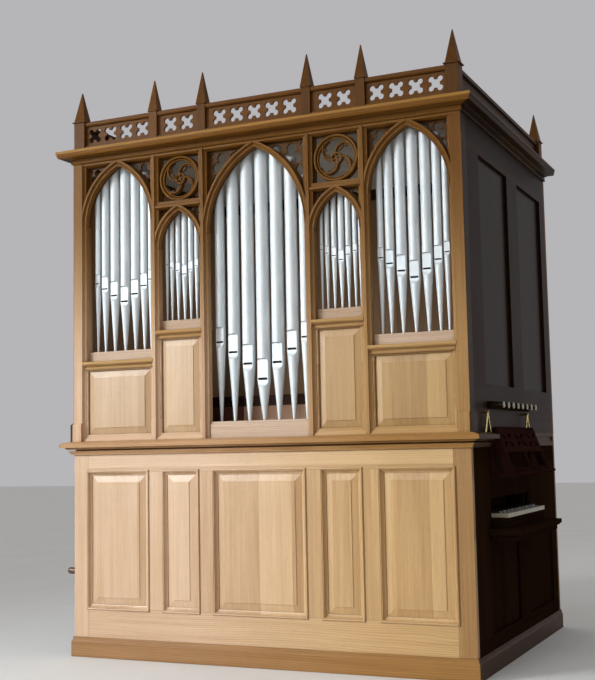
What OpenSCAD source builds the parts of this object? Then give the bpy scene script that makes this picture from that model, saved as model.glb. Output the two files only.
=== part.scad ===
// Gothic church pipe organ in a panelled oak case.
// The front has five arched bays of display pipes, and the console is on the right side.
// Frame: X runs along the front, Y runs from the front to the back, Z is up.
// The origin is on the floor at the centre of the case. All sizes are in millimetres.

/* [Case] */
// Width of the case over its front corner posts
case_w = 2600; // [2560:10:3200]
// Depth of the case from its front face to its back face
case_d = 2000; // [1700:10:2400]
// Height of the plinth
plinth_h = 120; // [90:5:160]
// Height of the lower case, up to the underside of the impost
lower_top = 1241; // [1180:1:1500]
// Height of the shelf on top of the impost
shelf_z = 1325; // [1270:1:1600]
// Height of the underside of the top cornice
head_z = 3108; // [2900:1:3500]
// Thickness of the framed walls
wall_t = 34; // [28:1:45]
// Thickness of the panels in the walls
panel_t = 16; // [12:1:22]

/* [Front] */
// Distance from the centre line to the middle of each inner mullion
inner_mullion_x = 355; // [350:1:370]
// Distance from the centre line to the middle of each outer mullion
outer_mullion_x = 702; // [695:1:720]
// Width of a mullion
mullion_w = 58; // [50:1:70]
// Depth of a mullion
mullion_d = 60; // [55:1:66]
// Width of the flat front edge of a mullion
mullion_fillet = 20; // [14:1:26]
// Width of a corner post
post_w = 85; // [75:1:100]
// Height of the block at the foot of a corner post
block_h = 118; // [90:1:150]
// How far that block stands out from its post
block_out = 14; // [8:1:20]
// Top of the sills in the two outer bays
outer_sill_z = 1828; // [1780:1:1900]
// Top of the sills in the two narrow bays
inner_sill_z = 1996; // [1940:1:2060]
// Height of a sill moulding
sill_h = 52; // [40:1:60]
// Height of the board behind a sill, which the pipe feet stand on
toe_h = 62; // [50:1:75]
// Height of the same board in the centre bay
centre_toe_h = 100; // [80:1:120]
// Width of the frame round an upper panel
upper_frame_w = 6; // [5:1:12]

/* [Arches] */
// Rise of an arch for each unit of its half span
arch_rise = 1.48; // [1.35:0.01:1.6]
// Width of the arch rib
rib_w = 34; // [28:1:42]
// Width of the flat front edge of a rib
rib_fillet = 13; // [10:1:15]
// Distance of the rib's front edge behind the front face
rib_y = 3; // [2:1:12]
// Distance of the pierced boards behind the front face
tracery_y = 53; // [44:1:56]
// Thickness of the pierced boards
tracery_t = 14; // [10:1:18]
// Height of the crossbar over the two narrow arches
transom_z = 2753; // [2700:1:2800]
// Thickness of that crossbar
transom_h = 46; // [40:1:52]
// How far the narrow arches rise into that crossbar
narrow_rise = 20; // [10:1:24]

/* [Pipes] */
// Distance of the pipes' fronts behind the front face
pipe_front = 71; // [69:1:95]
// Greatest height of the pipe tops
pipe_top = 3080; // [2900:1:3090]
// Diameters of the centre bay's pipes, from the middle pipe outwards
centre_d = [80, 77, 73, 60];
// Distances of the same pipes from the middle of the bay
centre_x = [0, 99, 197, 286];
// Heights of their mouths above the board that they stand on
centre_mouth = [240, 336, 410, 477];
// Diameters of the outer bays' pipes, from the middle pipe outwards
outer_d = [63, 60, 52, 39];
// Distances of the same pipes from the middle of the bay
outer_x = [0, 77, 146, 199];
// Heights of their mouths above the board that they stand on
outer_mouth = [311, 354, 402, 440];
// Diameters of the narrow bays' pipes, from the middle pipe outwards
inner_d = [37, 33, 28, 21];
// Distances of the same pipes from the middle of the bay
inner_x = [0, 45, 88, 122];
// Heights of their mouths above the board that they stand on
inner_mouth = [284, 311, 330, 353];

/* [Top] */
// How far the top cornice stands out from the case
cornice_out = 82; // [60:1:100]
// Height of the top cornice
cornice_h = 78; // [70:1:100]
// Thickness of the roof boards
roof_t = 18; // [14:1:24]
// Height of the parapet above the roof
parapet_h = 180; // [150:1:210]
// Height of a pinnacle
pinnacle_h = 205; // [170:1:240]
// Width of a parapet post on the front
parapet_post_w = 56; // [48:1:62]
// Distance between the pierced shapes in the parapet
quatrefoil_pitch = 119; // [112:1:121]
// Size of each pierced shape
quatrefoil_w = 88; // [74:1:96]

/* [Panels] */
// Distances of the lower panels' edges from the centre line, without the last edge
lower_panel_x = [297, 407, 647, 760];
// Width of the corner stiles beside the outer lower panels
lower_stile_w = 107; // [95:1:125]
// Height of the lower panels' bottom edge
lower_panel_z = 300; // [240:5:360]
// Height of the lower panels' top edge
lower_panel_top = 1132; // [1080:1:1160]
// Width of the sloping border round a raised panel
bevel_w = 42; // [28:1:48]
// Width of a panel moulding
mould_w = 34; // [28:1:40]
// How far a panel moulding laps onto the frame round it
mould_lap = 13; // [8:1:16]
// Bottom of the upper panels in the sides
side_panel_z = 1600; // [1580:1:1700]
// Top of the upper panels in the sides
side_panel_top = 2930; // [2800:1:2960]
// Width of the middle stile in the sides
side_stile_w = 250; // [160:5:300]

/* [Console] */
// Distance of the middle of the console behind the front face
console_y = 792; // [760:1:1000]
// Length of the key desk
desk_l = 1020; // [960:5:1060]
// How far the key desk stands out from the case
desk_out = 184; // [170:1:220]
// Height of the underside of the key desk's slab
desk_z = 747; // [735:1:780]
// How far the keys stand out from the case
key_out = 95; // [80:1:110]
// Width of the keyboard
keyboard_w = 870; // [840:1:900]
// Number of natural keys
natural_count = 36; // [33:1:38]
// Gap between two keys
key_gap = 1.2; // [1:0.1:1.6]
// Number of stop knobs
knob_count = 8; // [8:1:8]
// Distance between two stop knobs
knob_pitch = 109; // [90:1:112]
// Height of the stop knobs
knob_z = 1480; // [1475:1:1500]
// Diameter of a stop knob
knob_d = 36; // [28:1:40]
// Diameter of a stop knob's shank
shank_d = 14; // [12:1:18]
// Clearance round a shank in its bore
shank_gap = 0.4; // [0.3:0.05:0.8]
// Width of the music desk
music_w = 880; // [840:5:900]
// Height of the music desk's top edge
music_top_z = 1350; // [1340:1:1370]
// Height of the music desk's bottom edge
music_foot_z = 1068; // [1050:1:1090]
// Distance of the music desk's bottom edge from the case
music_out = 128; // [110:1:150]

/* [Blowing handle] */
// Distance of the handle behind the front face
handle_y = 450; // [400:5:600]
// Height of the handle's pivot
handle_z = 470; // [440:5:520]
// Length of the handle outside the case
handle_out = 370; // [320:5:420]
// Thickness of the handle's grip
handle_d = 46; // [36:1:52]
// Swing of the handle up or down, in degrees
handle_swing = 20; // [8:1:22]

/* [Hidden] */
$fn = 64;
EPS = 0.01;
OAK = "#a8713a";
DARK_OAK = "#6b4526";
TIN = "#c9cdd2";
BRASS = "#c9a24a";
IVORY = "#efe8d8";
EBONY = "#1d1a18";

half_w = case_w / 2;
post_in = half_w - post_w;
// The front face of the lower case stands a little behind the corner posts.
lower_y = 6;
lower_half = half_w - 4;
// Middles and clear widths of the bays.
outer_bay_x = (post_in + outer_mullion_x + mullion_w / 2) / 2;
outer_clear = post_in - outer_mullion_x - mullion_w / 2;
inner_bay_x = (inner_mullion_x + outer_mullion_x) / 2;
inner_clear = outer_mullion_x - inner_mullion_x - mullion_w;
centre_clear = 2 * inner_mullion_x - mullion_w;
// The arches stop at a narrow head rail under the cornice.
head_rail_h = 24;
rail_z = head_z - head_rail_h;
// The hollow along each edge of a mullion or corner post.
hollow_r = (mullion_w - mullion_fillet) / 2;
cornice_top = head_z + cornice_h;
roof_top = cornice_top + roof_t;
parapet_top = roof_top + parapet_h;
// The toe boards reach back under the pipe feet.
toe_back = pipe_front + centre_d[0] + 27;
pipe_lift = 0.3;

// Moves a shape drawn from the front face of the case to the part's own frame.
module in_case() {
    translate([0, -case_d / 2, 0]) children();
}

// Draws a shape and its mirror image on the other side of the centre line.
module both_sides() {
    children();
    mirror([1, 0, 0]) children();
}

// Box between two corners.
module block(a, b) {
    translate(a) cube(b - a);
}

// Turns a flat outline drawn in X and Z into a board from y0 to y1.
module board(y0, y1) {
    translate([0, y1, 0]) rotate([90, 0, 0]) linear_extrude(y1 - y0) children();
}

// Rectangle between two corners.
module rect(a, b) {
    translate(a) square(b - a);
}

// Frustum with four sloping sides, standing out towards the front from a w by h base.
module fielded(w, h, rise, slope) {
    intersection() {
        linear_extrude(h) polygon([[0, 0], [w, 0], [w - slope, -rise], [slope, -rise]]);
        rotate([90, 0, 90]) linear_extrude(w) polygon([[0, 0], [0, h], [-rise, h - slope], [-rise, slope]]);
    }
}

// Raised panel between two corners. Its rim stays flat behind the moulding, its border slopes
// towards the front, and its field stands a small step above the border.
bevel_rise = 9;
field_step = 3;
module raised_panel(x0, z0, x1, z1, y, rim) {
    edge = rim + bevel_w;
    block([x0, y, z0], [x1, y + panel_t, z1]);
    translate([x0 + rim, y, z0 + rim]) fielded(x1 - x0 - 2 * rim, z1 - z0 - 2 * rim, bevel_rise, bevel_w);
    block([x0 + edge, y - bevel_rise - field_step, z0 + edge], [x1 - edge, y, z1 - edge]);
}

// One length of moulding along X. Its profile is drawn as distance inwards and distance to the back.
module mitred_length(len, depth) {
    intersection() {
        rotate([90, 0, 90]) linear_extrude(len) children();
        translate([0, 100, 0]) rotate([90, 0, 0]) linear_extrude(200)
            polygon([[0, 0], [len, 0], [len - depth, depth], [depth, depth]]);
    }
}

// Moulding round a rectangular opening, mitred at its corners.
module moulding_ring(x0, z0, x1, z1, y, depth) {
    w = x1 - x0;
    h = z1 - z0;
    translate([x0, y, z0]) {
        mitred_length(w, depth) children();
        translate([w, 0, h]) rotate([0, 180, 0]) mitred_length(w, depth) children();
        translate([0, 0, h]) rotate([0, 90, 0]) mitred_length(h, depth) children();
        translate([w, 0, 0]) rotate([0, -90, 0]) mitred_length(h, depth) children();
    }
}

// Profile of a panel moulding: a fillet and a bead on the face of the frame, then a wide hollow
// that falls to the panel.
panel_back = 18;
module panel_profile() {
    bead_r = 5;
    difference() {
        union() {
            translate([-3, 0]) square([4, mould_lap]);
            translate([-4, 7]) circle(r = bead_r);
            translate([-6, 9]) square([7, mould_lap - 9]);
            translate([-6, mould_lap - EPS]) square([panel_back + 6, mould_w - mould_lap + EPS]);
        }
        translate([-6, mould_w + 2]) circle(r = mould_w - mould_lap - 1);
    }
}

// Moulding that runs along the front and both sides of the case, mitred at the corners.
// The profile is drawn as distance outwards and height, and x_half is the half width of the case.
module run_round(x_half, y_front, y_back, reach) {
    far = x_half + reach;
    intersection() {
        translate([-far, y_front, 0]) rotate([90, 0, 90]) linear_extrude(2 * far) mirror([1, 0]) children();
        linear_extrude(4 * case_d) polygon([
            [-far, y_front - reach], [far, y_front - reach],
            [x_half - reach, y_front + reach], [-x_half + reach, y_front + reach]
        ]);
    }
    both_sides() intersection() {
        translate([x_half, y_back, 0]) rotate([90, 0, 0]) linear_extrude(y_back - y_front + reach) children();
        linear_extrude(4 * case_d) polygon([
            [far, y_front - reach], [far, y_back], [x_half - reach, y_back], [x_half - reach, y_front + reach]
        ]);
    }
}

// Middle of each panel opening in a side wall, counted from the front face.
function side_bays(front, back) =
    let (mid = (front + back) / 2)
    [[front, mid - side_stile_w / 2], [mid + side_stile_w / 2, back]];

side_front = 334;
side_back = case_d - 160;

// Places drawings made in Y and Z on the outer face of the right side wall.
module on_right(x) {
    translate([x, 0, 0]) rotate([90, 0, 90]) children();
}

module plinth() {
    color(DARK_OAK) in_case() {
        difference() {
            block([-lower_half, lower_y, 0], [lower_half, case_d, plinth_h]);
            block([-lower_half + 140, lower_y + 140, 40], [lower_half - 140, case_d - 140, plinth_h + 1]);
        }
        run_round(lower_half, lower_y, case_d, 15)
            polygon([[0, 0], [15, 0], [15, plinth_h - 30], [9, plinth_h - 18], [6, plinth_h], [0, plinth_h]]);
    }
}

// Panel openings of the lower front, as pairs of X values.
lower_bays = [
    [lower_stile_w - half_w, -lower_panel_x[3]], [-lower_panel_x[2], -lower_panel_x[1]],
    [-lower_panel_x[0], lower_panel_x[0]],
    [lower_panel_x[1], lower_panel_x[2]], [lower_panel_x[3], half_w - lower_stile_w]
];

module lower_front_frame() {
    color(OAK) in_case() {
        difference() {
            block([-lower_half, lower_y, plinth_h], [lower_half, lower_y + wall_t, lower_top]);
            for (b = lower_bays)
                block([b[0], 0, lower_panel_z], [b[1], 100, lower_panel_top]);
        }
        for (b = lower_bays)
            moulding_ring(b[0] - mould_lap, lower_panel_z - mould_lap, b[1] + mould_lap,
                lower_panel_top + mould_lap, lower_y, mould_w) panel_profile();
    }
}

module lower_front_panels() {
    color(OAK) in_case()
        for (b = lower_bays)
            raised_panel(b[0], lower_panel_z, b[1], lower_panel_top, lower_y + panel_back, mould_w - mould_lap);
}

// Rail and stile frame of a side wall, drawn in Y and Z.
module side_frame(z0, z1, y0, y1, bays, pz0, pz1) {
    difference() {
        rect([y0, z0], [y1, z1]);
        for (b = bays)
            rect([b[0], pz0], [b[1], pz1]);
        children();
    }
}

lower_side_pz = [200, 690];
// Key desk: slab, key box on top of it, and the hole in the case that the keys run into.
desk_slab = 36;
slab_top = desk_z + desk_slab;
key_bed_z = slab_top + 60;
keyhole_z = [key_bed_z, key_bed_z + 110];

module lower_side_frames() {
    color(DARK_OAK) in_case() {
        on_right(lower_half - wall_t) linear_extrude(wall_t)
            side_frame(plinth_h, lower_top, lower_y + wall_t, case_d - wall_t,
                side_bays(side_front, side_back), lower_side_pz[0], lower_side_pz[1])
                rect([console_y - keyboard_w / 2, keyhole_z[0]], [console_y + keyboard_w / 2, keyhole_z[1]]);
        mirror([1, 0, 0]) on_right(lower_half - wall_t) linear_extrude(wall_t)
            side_frame(plinth_h, lower_top, lower_y + wall_t, case_d - wall_t,
                side_bays(side_front, side_back), lower_side_pz[0], lower_panel_top);
    }
}

module upper_side_frames() {
    color(DARK_OAK) in_case() difference() {
        both_sides() on_right(half_w - 3 - wall_t) linear_extrude(wall_t)
            side_frame(shelf_z, head_z, post_w, case_d - wall_t,
                side_bays(side_front, side_back), side_panel_z, side_panel_top);
        for (y = knob_places)
            translate([half_w - 100, y, knob_z]) rotate([0, 90, 0]) cylinder(d = shank_d + 10, h = 120);
    }
}

// The blowing handle's pivot inside the case, its pin, and the slot in the panel for its swing.
pivot_in = 120;
pivot_x = -half_w + pivot_in;
pin_r = 6;
pin_gap = 0.08;
lever_r = handle_d / 2 - 6;
slot_gap = 20;
slot_half = pivot_in * tan(handle_swing) + lever_r / cos(handle_swing) + slot_gap;
slot_side = handle_d / 2 + 8;

module side_panels() {
    color(DARK_OAK) in_case() {
        for (b = side_bays(side_front, side_back)) {
            block([half_w - 3 - wall_t, b[0], side_panel_z], [half_w - 3 - wall_t + panel_t, b[1], side_panel_top]);
            block([-half_w + 3 + wall_t - panel_t, b[0], side_panel_z], [-half_w + 3 + wall_t, b[1], side_panel_top]);
            block([lower_half - wall_t, b[0], lower_side_pz[0]],
                [lower_half - wall_t + panel_t, b[1], lower_side_pz[1]]);
            difference() {
                block([-lower_half + wall_t - panel_t, b[0], lower_side_pz[0]],
                    [-lower_half + wall_t, b[1], lower_panel_top]);
                block([-half_w, handle_y - slot_side, handle_z - slot_half],
                    [-half_w + 100, handle_y + slot_side, handle_z + slot_half]);
            }
        }
    }
}

// Panel openings of the back, as pairs of X values.
back_pitch = case_w / 3.25;
back_half = 0.4125 * back_pitch;
back_bays = [for (k = [-1, 0, 1]) [k * back_pitch - back_half, k * back_pitch + back_half]];
back_tiers = [[300, 1130], [1400, 2180], [2280, 2980]];

module back_frame() {
    color(DARK_OAK) in_case() difference() {
        union() {
            block([-lower_half, case_d - wall_t, plinth_h], [lower_half, case_d, lower_top]);
            block([-half_w + 3, case_d - wall_t, shelf_z], [half_w - 3, case_d, head_z]);
            block([-lower_half, case_d - wall_t, lower_top], [lower_half, case_d, shelf_z]);
        }
        for (b = back_bays)
            for (t = back_tiers)
                block([b[0], case_d - 100, t[0]], [b[1], case_d + 10, t[1]]);
    }
}

module back_panels() {
    color(DARK_OAK) in_case()
        for (b = back_bays)
            for (t = back_tiers)
                block([b[0], case_d - wall_t, t[0]], [b[1], case_d - wall_t + panel_t, t[1]]);
}

impost_out = 68;
impost_in = 60;

// Impost moulding: an ovolo below, a dark groove, a square nosing and a sloping top.
module impost_profile() {
    z = shelf_z - lower_top;
    difference() {
        polygon([
            [-impost_in, 0], [14, 0], [14, 6], [42, 42], [42, 46], [impost_out, 46],
            [impost_out, z - 17], [impost_out - 4, z - 13], [20, z], [-impost_in, z]
        ]);
        translate([14, 44]) circle(r = 24);
        translate([42, 44]) square([14, 5]);
    }
}

module impost() {
    color(OAK) in_case() difference() {
        run_round(lower_half, lower_y, case_d - wall_t, impost_out) translate([0, lower_top]) impost_profile();
        // The moulding stops where the console begins.
        block([lower_half, console_y - desk_l / 2 + 62, lower_top - 1], [half_w + 200, case_d, shelf_z + 1]);
    }
}

block_slope = 12;

// Corner posts, each with a hollow along its inner edge and a block round its foot.
module corner_posts() {
    color(OAK) in_case() both_sides() {
        translate([0, 0, shelf_z]) linear_extrude(head_z - shelf_z) difference() {
            rect([post_in, 0], [half_w, post_w]);
            translate([post_in, 0]) circle(r = hollow_r);
        }
        block([post_in + hollow_r, -block_out, shelf_z], [half_w + block_out, post_w, shelf_z + block_h - block_slope]);
        translate([post_in + hollow_r, post_w, shelf_z + block_h - block_slope]) post_cap();
    }
}

// Sloping top of the block at the foot of a post.
module post_cap() {
    w = post_w - hollow_r + block_out;
    d = post_w + block_out;
    intersection() {
        rotate([90, 0, 0]) linear_extrude(d)
            polygon([[0, 0], [w, 0], [w - block_out, block_slope], [0, block_slope]]);
        rotate([90, 0, 90]) linear_extrude(w)
            polygon([[-d, 0], [0, 0], [0, block_slope], [-d + block_out, block_slope]]);
    }
}

// Section of a mullion: a flat front edge between two hollows, then a square body.
module mullion_section() {
    difference() {
        translate([-mullion_w / 2, 0]) square([mullion_w, mullion_d]);
        for (s = [-1, 1])
            translate([s * mullion_w / 2, 0]) circle(r = hollow_r);
    }
}

mullion_places = [-outer_mullion_x, -inner_mullion_x, inner_mullion_x, outer_mullion_x];

module mullions() {
    color(OAK) in_case()
        for (x = mullion_places)
            translate([x, 0, shelf_z]) linear_extrude(head_z - shelf_z) mullion_section();
}

// Keeps what lies in one bay: between its two uprights, and in the hollows along their edges.
module in_bay(clear) {
    fit_gap = 0.3;
    intersection() {
        children();
        linear_extrude(2 * head_z) {
            translate([-clear / 2, -50]) square([clear, 400]);
            for (s = [-1, 1])
                translate([s * clear / 2, 0]) circle(r = hollow_r - fit_gap);
        }
    }
}

// Radius of the two-centred arch over a half span, for its rise.
function arch_radius(a) = a * (1 + arch_rise * arch_rise) / 2;

// Inside of a pointed arch whose outer edge springs at a and whose ring is thinned by inset.
module arch_outline(a, inset, below) {
    r = arch_radius(a);
    intersection() {
        translate([a - r, 0]) circle(r = r - inset, $fn = 128);
        translate([r - a, 0]) circle(r = r - inset, $fn = 128);
        translate([-a, 0]) square([2 * a, a * arch_rise]);
    }
    translate([-a + inset, -below]) square([2 * (a - inset), below + EPS]);
}

// Section of an arch rib, drawn as distance inwards and depth: a flat front edge like the
// mullion's, a hollow, and a narrow inner edge set back from it.
rib_depth = tracery_y + tracery_t - rib_y;
module rib_section() {
    inner_edge = 6;
    hollow = rib_w - rib_fillet - inner_edge;
    difference() {
        square([rib_w, rib_depth]);
        intersection() {
            translate([rib_fillet + hollow, 0]) circle(r = hollow);
            square([rib_fillet + hollow, hollow + 1]);
        }
        translate([rib_fillet + hollow, -1]) square([inner_edge + 1, 0.75 * hollow + 1]);
    }
}

// Moulded rib of a pointed arch, mitred at its point.
module arch_rib(a) {
    r = arch_radius(a);
    tilt = acos((r - a) / r);
    both_sides() intersection() {
        translate([a - r, tracery_y + tracery_t, 0]) rotate([90, 0, 0])
            rotate_extrude(angle = tilt + 6, $fn = 128)
                translate([r, rib_depth]) rotate(180) rib_section();
        block([0, 0, 0], [2 * a, 200, 3 * a]);
    }
}

// Pointed blind or pierced leaf between two arcs, w wide and l long.
module dagger(w, l) {
    r = (l * l + w * w) / (4 * w);
    intersection() {
        translate([r - w / 2, 0]) circle(r = r);
        translate([w / 2 - r, 0]) circle(r = r);
    }
}

// Three lobes round a point.
module trefoil(r) {
    for (k = [0 : 2])
        rotate(90 + 120 * k) translate([r * 0.52, 0]) circle(r = r * 0.46);
    circle(r = r * 0.3);
}

// Pierced shapes of one spandrel, laid out from the corner of the bay.
module spandrel_holes(s) {
    translate([0.33 * s, -0.31 * s]) trefoil(0.26 * s);
    translate([0.74 * s, -0.15 * s]) rotate(84) dagger(0.19 * s, 0.4 * s);
    translate([0.15 * s, -0.72 * s]) rotate(-6) dagger(0.17 * s, 0.4 * s);
    translate([0.1 * s, -1.12 * s]) rotate(-4) dagger(0.11 * s, 0.34 * s);
    translate([0.085 * s, -0.1 * s]) circle(r = 0.045 * s);
}

// Half span of a bay's arch over its outer edge, and the height where the arch springs.
function arch_half(clear) = clear / 2 + rib_w;
function arch_spring(clear, top) = top - arch_half(clear) * arch_rise;

// Arch head of one bay: the rib, and the pierced board that fills the corners above it.
module arch_head(clear, top, board_top) {
    a = arch_half(clear);
    spring = arch_spring(clear, top);
    margin = 7;
    in_bay(clear) translate([0, 0, spring]) arch_rib(a);
    board(tracery_y, tracery_y + tracery_t) difference() {
        rect([-clear / 2, spring], [clear / 2, board_top]);
        translate([0, spring]) arch_outline(a, rib_w - 2, 1);
        intersection() {
            for (s = [-1, 1])
                scale([s, 1]) translate([-clear / 2, board_top]) spandrel_holes(clear * 0.42);
            difference() {
                rect([-clear / 2 + margin, spring], [clear / 2 - margin, board_top - margin]);
                translate([0, spring]) arch_outline(a, -margin, 1);
            }
        }
    }
}

narrow_top = transom_z + narrow_rise;

module outer_arches() {
    color(OAK) in_case()
        for (s = [-1, 1])
            translate([s * outer_bay_x, 0, 0]) arch_head(outer_clear, head_z, rail_z);
}

module narrow_arches() {
    color(OAK) in_case()
        for (s = [-1, 1])
            translate([s * inner_bay_x, 0, 0]) arch_head(inner_clear, narrow_top, transom_z);
}

module centre_arch() {
    color(OAK) in_case() arch_head(centre_clear, head_z, rail_z);
}

// Half ring from the hub of the wheel to its rim.
module wheel_spoke(r) {
    half_t = 0.09 * r;
    intersection() {
        translate([r / 2, 0]) difference() {
            circle(r = r / 2 + half_t);
            circle(r = r / 2 - half_t);
        }
        translate([0, -half_t]) square([2 * r, r]);
    }
}

// The four curved drops that are pierced between the spokes, each with two cusps.
module mouchettes(r) {
    difference() {
        circle(r = r);
        circle(r = 0.32 * r);
        for (k = [0 : 3])
            rotate(90 * k + spoke_turn) {
                wheel_spoke(r);
                rotate(112) translate([0.97 * r, 0]) rotate(90) dagger(0.2 * r, 0.52 * r);
                rotate(38) translate([0.56 * r, 0]) rotate(70) dagger(0.16 * r, 0.4 * r);
            }
    }
}

spoke_turn = 30;

module wheel_panel() {
    z0 = transom_z + transom_h;
    z1 = rail_z;
    half = inner_clear / 2;
    r = min(half, (z1 - z0) / 2) - 1;
    pierced_r = r - 24;
    zc = (z0 + z1) / 2;
    corner_margin = 9;
    board(tracery_y, tracery_y + tracery_t) difference() {
        rect([-half, z0], [half, z1]);
        translate([0, zc]) {
            mouchettes(pierced_r);
            circle(r = 0.19 * pierced_r);
        }
        // Pierced corners outside the ring.
        difference() {
            rect([-half + corner_margin, z0 + corner_margin], [half - corner_margin, z1 - corner_margin]);
            translate([0, zc]) circle(r = r + 4);
        }
    }
    // Two ring mouldings, a small ring round the hub and a bead on each spoke.
    translate([0, tracery_y, zc]) rotate([90, 0, 0]) {
        rotate_extrude($fn = 128) {
            translate([r - 8, 0]) ring_bead(8, 27);
            translate([r - 24, 0]) ring_bead(4.5, 16);
            translate([0.26 * pierced_r, 0]) ring_bead(5, 13);
        }
        for (k = [0 : 3])
            rotate(90 * k + spoke_turn) translate([pierced_r / 2, 0, 0])
                rotate_extrude(angle = 180) translate([pierced_r / 2, 0]) ring_bead(4.5, 12);
    }
}

// Section of a round bead that stands on a flat face.
module ring_bead(half, high) {
    translate([-half, 0]) square([2 * half, high - half]);
    translate([0, high - half]) circle(r = half);
}

module wheel_panels() {
    color(OAK) in_case()
        for (s = [-1, 1])
            translate([s * inner_bay_x, 0, 0]) wheel_panel();
}

// Rails across the bays: the crossbar over each narrow arch, the head rail of each bay, both
// cut round the point of an arch, and the frame round each upper panel.
module front_rails() {
    color(OAK) in_case() {
        for (s = [-1, 1]) {
            translate([s * inner_bay_x, 0, 0]) {
                cut_round_arch(inner_clear, narrow_top) transom();
                bay_length(inner_clear) rail_profile(rail_z, head_z);
            }
            translate([s * outer_bay_x, 0, 0])
                cut_round_arch(outer_clear, head_z) bay_length(outer_clear) rail_profile(rail_z, head_z);
        }
        cut_round_arch(centre_clear, head_z) bay_length(centre_clear) rail_profile(rail_z, head_z);
        for (b = upper_bays)
            translate([b[0], 0, 0]) upper_frame(b[1], b[2]);
    }
}

// Moulding across one bay that also fills the hollows beside it. Its profile is drawn in Y and Z.
module bay_length(clear) {
    reach = clear / 2 + hollow_r;
    in_bay(clear) translate([-reach, 0, 0]) rotate([90, 0, 90]) linear_extrude(2 * reach) children();
}

// Plain rail with a sloping lower front edge.
module rail_profile(z0, z1) {
    back = tracery_y + tracery_t;
    polygon([[4, z1], [back, z1], [back, z0], [24, z0], [4, z0 + 9]]);
}

// Crossbar with a nosing below a plain face.
module transom() {
    back = tracery_y + tracery_t;
    z0 = transom_z;
    z1 = transom_z + transom_h;
    bay_length(inner_clear)
        polygon([[16, z1], [back, z1], [back, z0], [24, z0], [4, z0 + 9], [4, z0 + 22], [16, z0 + 28]]);
}

// Cuts a rail where the point of an arch passes in front of it.
module cut_round_arch(clear, top) {
    lift = 0.4;
    difference() {
        children();
        board(-1, 200) translate([0, arch_spring(clear, top) + lift]) arch_outline(arch_half(clear), 0, 1);
    }
}

// Frame round one upper panel, with a sloping foot rail on the impost.
module upper_frame(clear, top) {
    half = clear / 2;
    in_half = half - upper_frame_w;
    difference() {
        block([-half, frame_y, shelf_z], [half, frame_y + wall_t, top]);
        block([-in_half, 0, upper_panel_z], [in_half, 100, top - upper_rail_h]);
    }
    moulding_ring(-in_half, upper_panel_z, in_half, top - upper_rail_h, frame_y, small_mould_w) small_profile();
    bay_length(clear) polygon([
        [5, shelf_z], [frame_y + 1, shelf_z], [frame_y + 1, upper_panel_z - 8], [frame_y, upper_panel_z - 8],
        [5, shelf_z + 4]
    ]);
}

// Small quarter hollow on the edge of an upper panel's frame.
module small_profile() {
    difference() {
        square([panel_set, small_mould_w]);
        translate([0, small_mould_w]) circle(r = small_mould_w - 2);
    }
}

// Sill moulding: a rounded nosing over a hollow, with the board behind it for the pipe feet.
module sill(clear, top, toe) {
    nose_r = 13;
    z0 = top - sill_h;
    bay_length(clear) difference() {
        union() {
            rect([8, z0], [70, top]);
            translate([8, top - nose_r]) circle(r = nose_r);
        }
        translate([8, z0 + 13]) circle(r = 11);
        rect([-20, z0 - 10], [8, z0 + 24]);
    }
    block([-clear / 2, 52, top], [clear / 2, toe_back, top + toe]);
}

module sills() {
    step = 8;
    color(OAK) in_case() {
        for (s = [-1, 1]) {
            translate([s * outer_bay_x, 0, 0]) sill(outer_clear, outer_sill_z, toe_h);
            translate([s * inner_bay_x, 0, 0]) sill(inner_clear, inner_sill_z, toe_h);
        }
        // The board of the centre bay has a small step along its top edge.
        difference() {
            block([-centre_clear / 2, 26, shelf_z], [centre_clear / 2, toe_back, shelf_z + centre_toe_h]);
            block([-centre_clear, 25, shelf_z + centre_toe_h - 14],
                [centre_clear, 26 + step, shelf_z + centre_toe_h + 1]);
        }
    }
}

// Openings of the upper front panels: middle, clear width and top.
upper_bays = [
    [-outer_bay_x, outer_clear, outer_sill_z - sill_h], [-inner_bay_x, inner_clear, inner_sill_z - sill_h],
    [inner_bay_x, inner_clear, inner_sill_z - sill_h], [outer_bay_x, outer_clear, outer_sill_z - sill_h]
];
upper_panel_z = shelf_z + 36;
upper_rail_h = 3;
frame_y = 22;
panel_set = 14;
small_mould_w = 6;

module upper_front_panels() {
    color(OAK) in_case()
        for (b = upper_bays)
            raised_panel(b[0] - b[1] / 2 + upper_frame_w, upper_panel_z,
                b[0] + b[1] / 2 - upper_frame_w, b[2] - upper_rail_h, frame_y + panel_set, small_mould_w);
}

// One display pipe: a conical foot, a round body, and a mouth with two lips and a slot.
module pipe(d, mouth, height) {
    r = d / 2;
    flat_r = lip_depth * r;
    half = sqrt(r * r - flat_r * flat_r) + 0.5;
    corner = lip_corner * d;
    lip_foot = mouth - lip_drop * d;
    lip_head = mouth + lip_rise * d;
    difference() {
        rotate_extrude() polygon([[0, 0], [0.16 * r + 3, 0], [r, mouth - 0.1 * d], [r, height], [0, height]]);
        // The upper lip is pressed flat up to two round corners, and the lower lip over a half circle.
        board(-2 * r, -flat_r) {
            for (s = [-1, 1])
                translate([s * (half - corner), lip_head]) circle(r = corner);
            rect([corner - half, lip_head], [half - corner, lip_head + corner]);
            rect([-half, lip_foot], [half, lip_head]);
            translate([0, lip_foot]) circle(r = half);
        }
        // The slot between the lips.
        block([-0.9 * half, -flat_r - 1, mouth], [0.9 * half, -0.15 * r, mouth + slot_rise * d]);
    }
}

// Shape of a mouth: depth of the flats, then heights as shares of the pipe's diameter.
lip_depth = 0.52;
lip_rise = 1.42;
lip_corner = 0.2;
lip_drop = 0.07;
slot_rise = 0.18;

// Height of the top of a pipe of radius r at x in its bay. It ends out of sight behind the arch.
top_cover = 32;
function hidden_top(clear, top, x, r) =
    let (a = arch_half(clear), arch_r = arch_radius(a), run = max(0, x - r) + arch_r - a)
    min(pipe_top, arch_spring(clear, top) + sqrt(pow(arch_r - rib_w, 2) - run * run) + top_cover);

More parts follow.
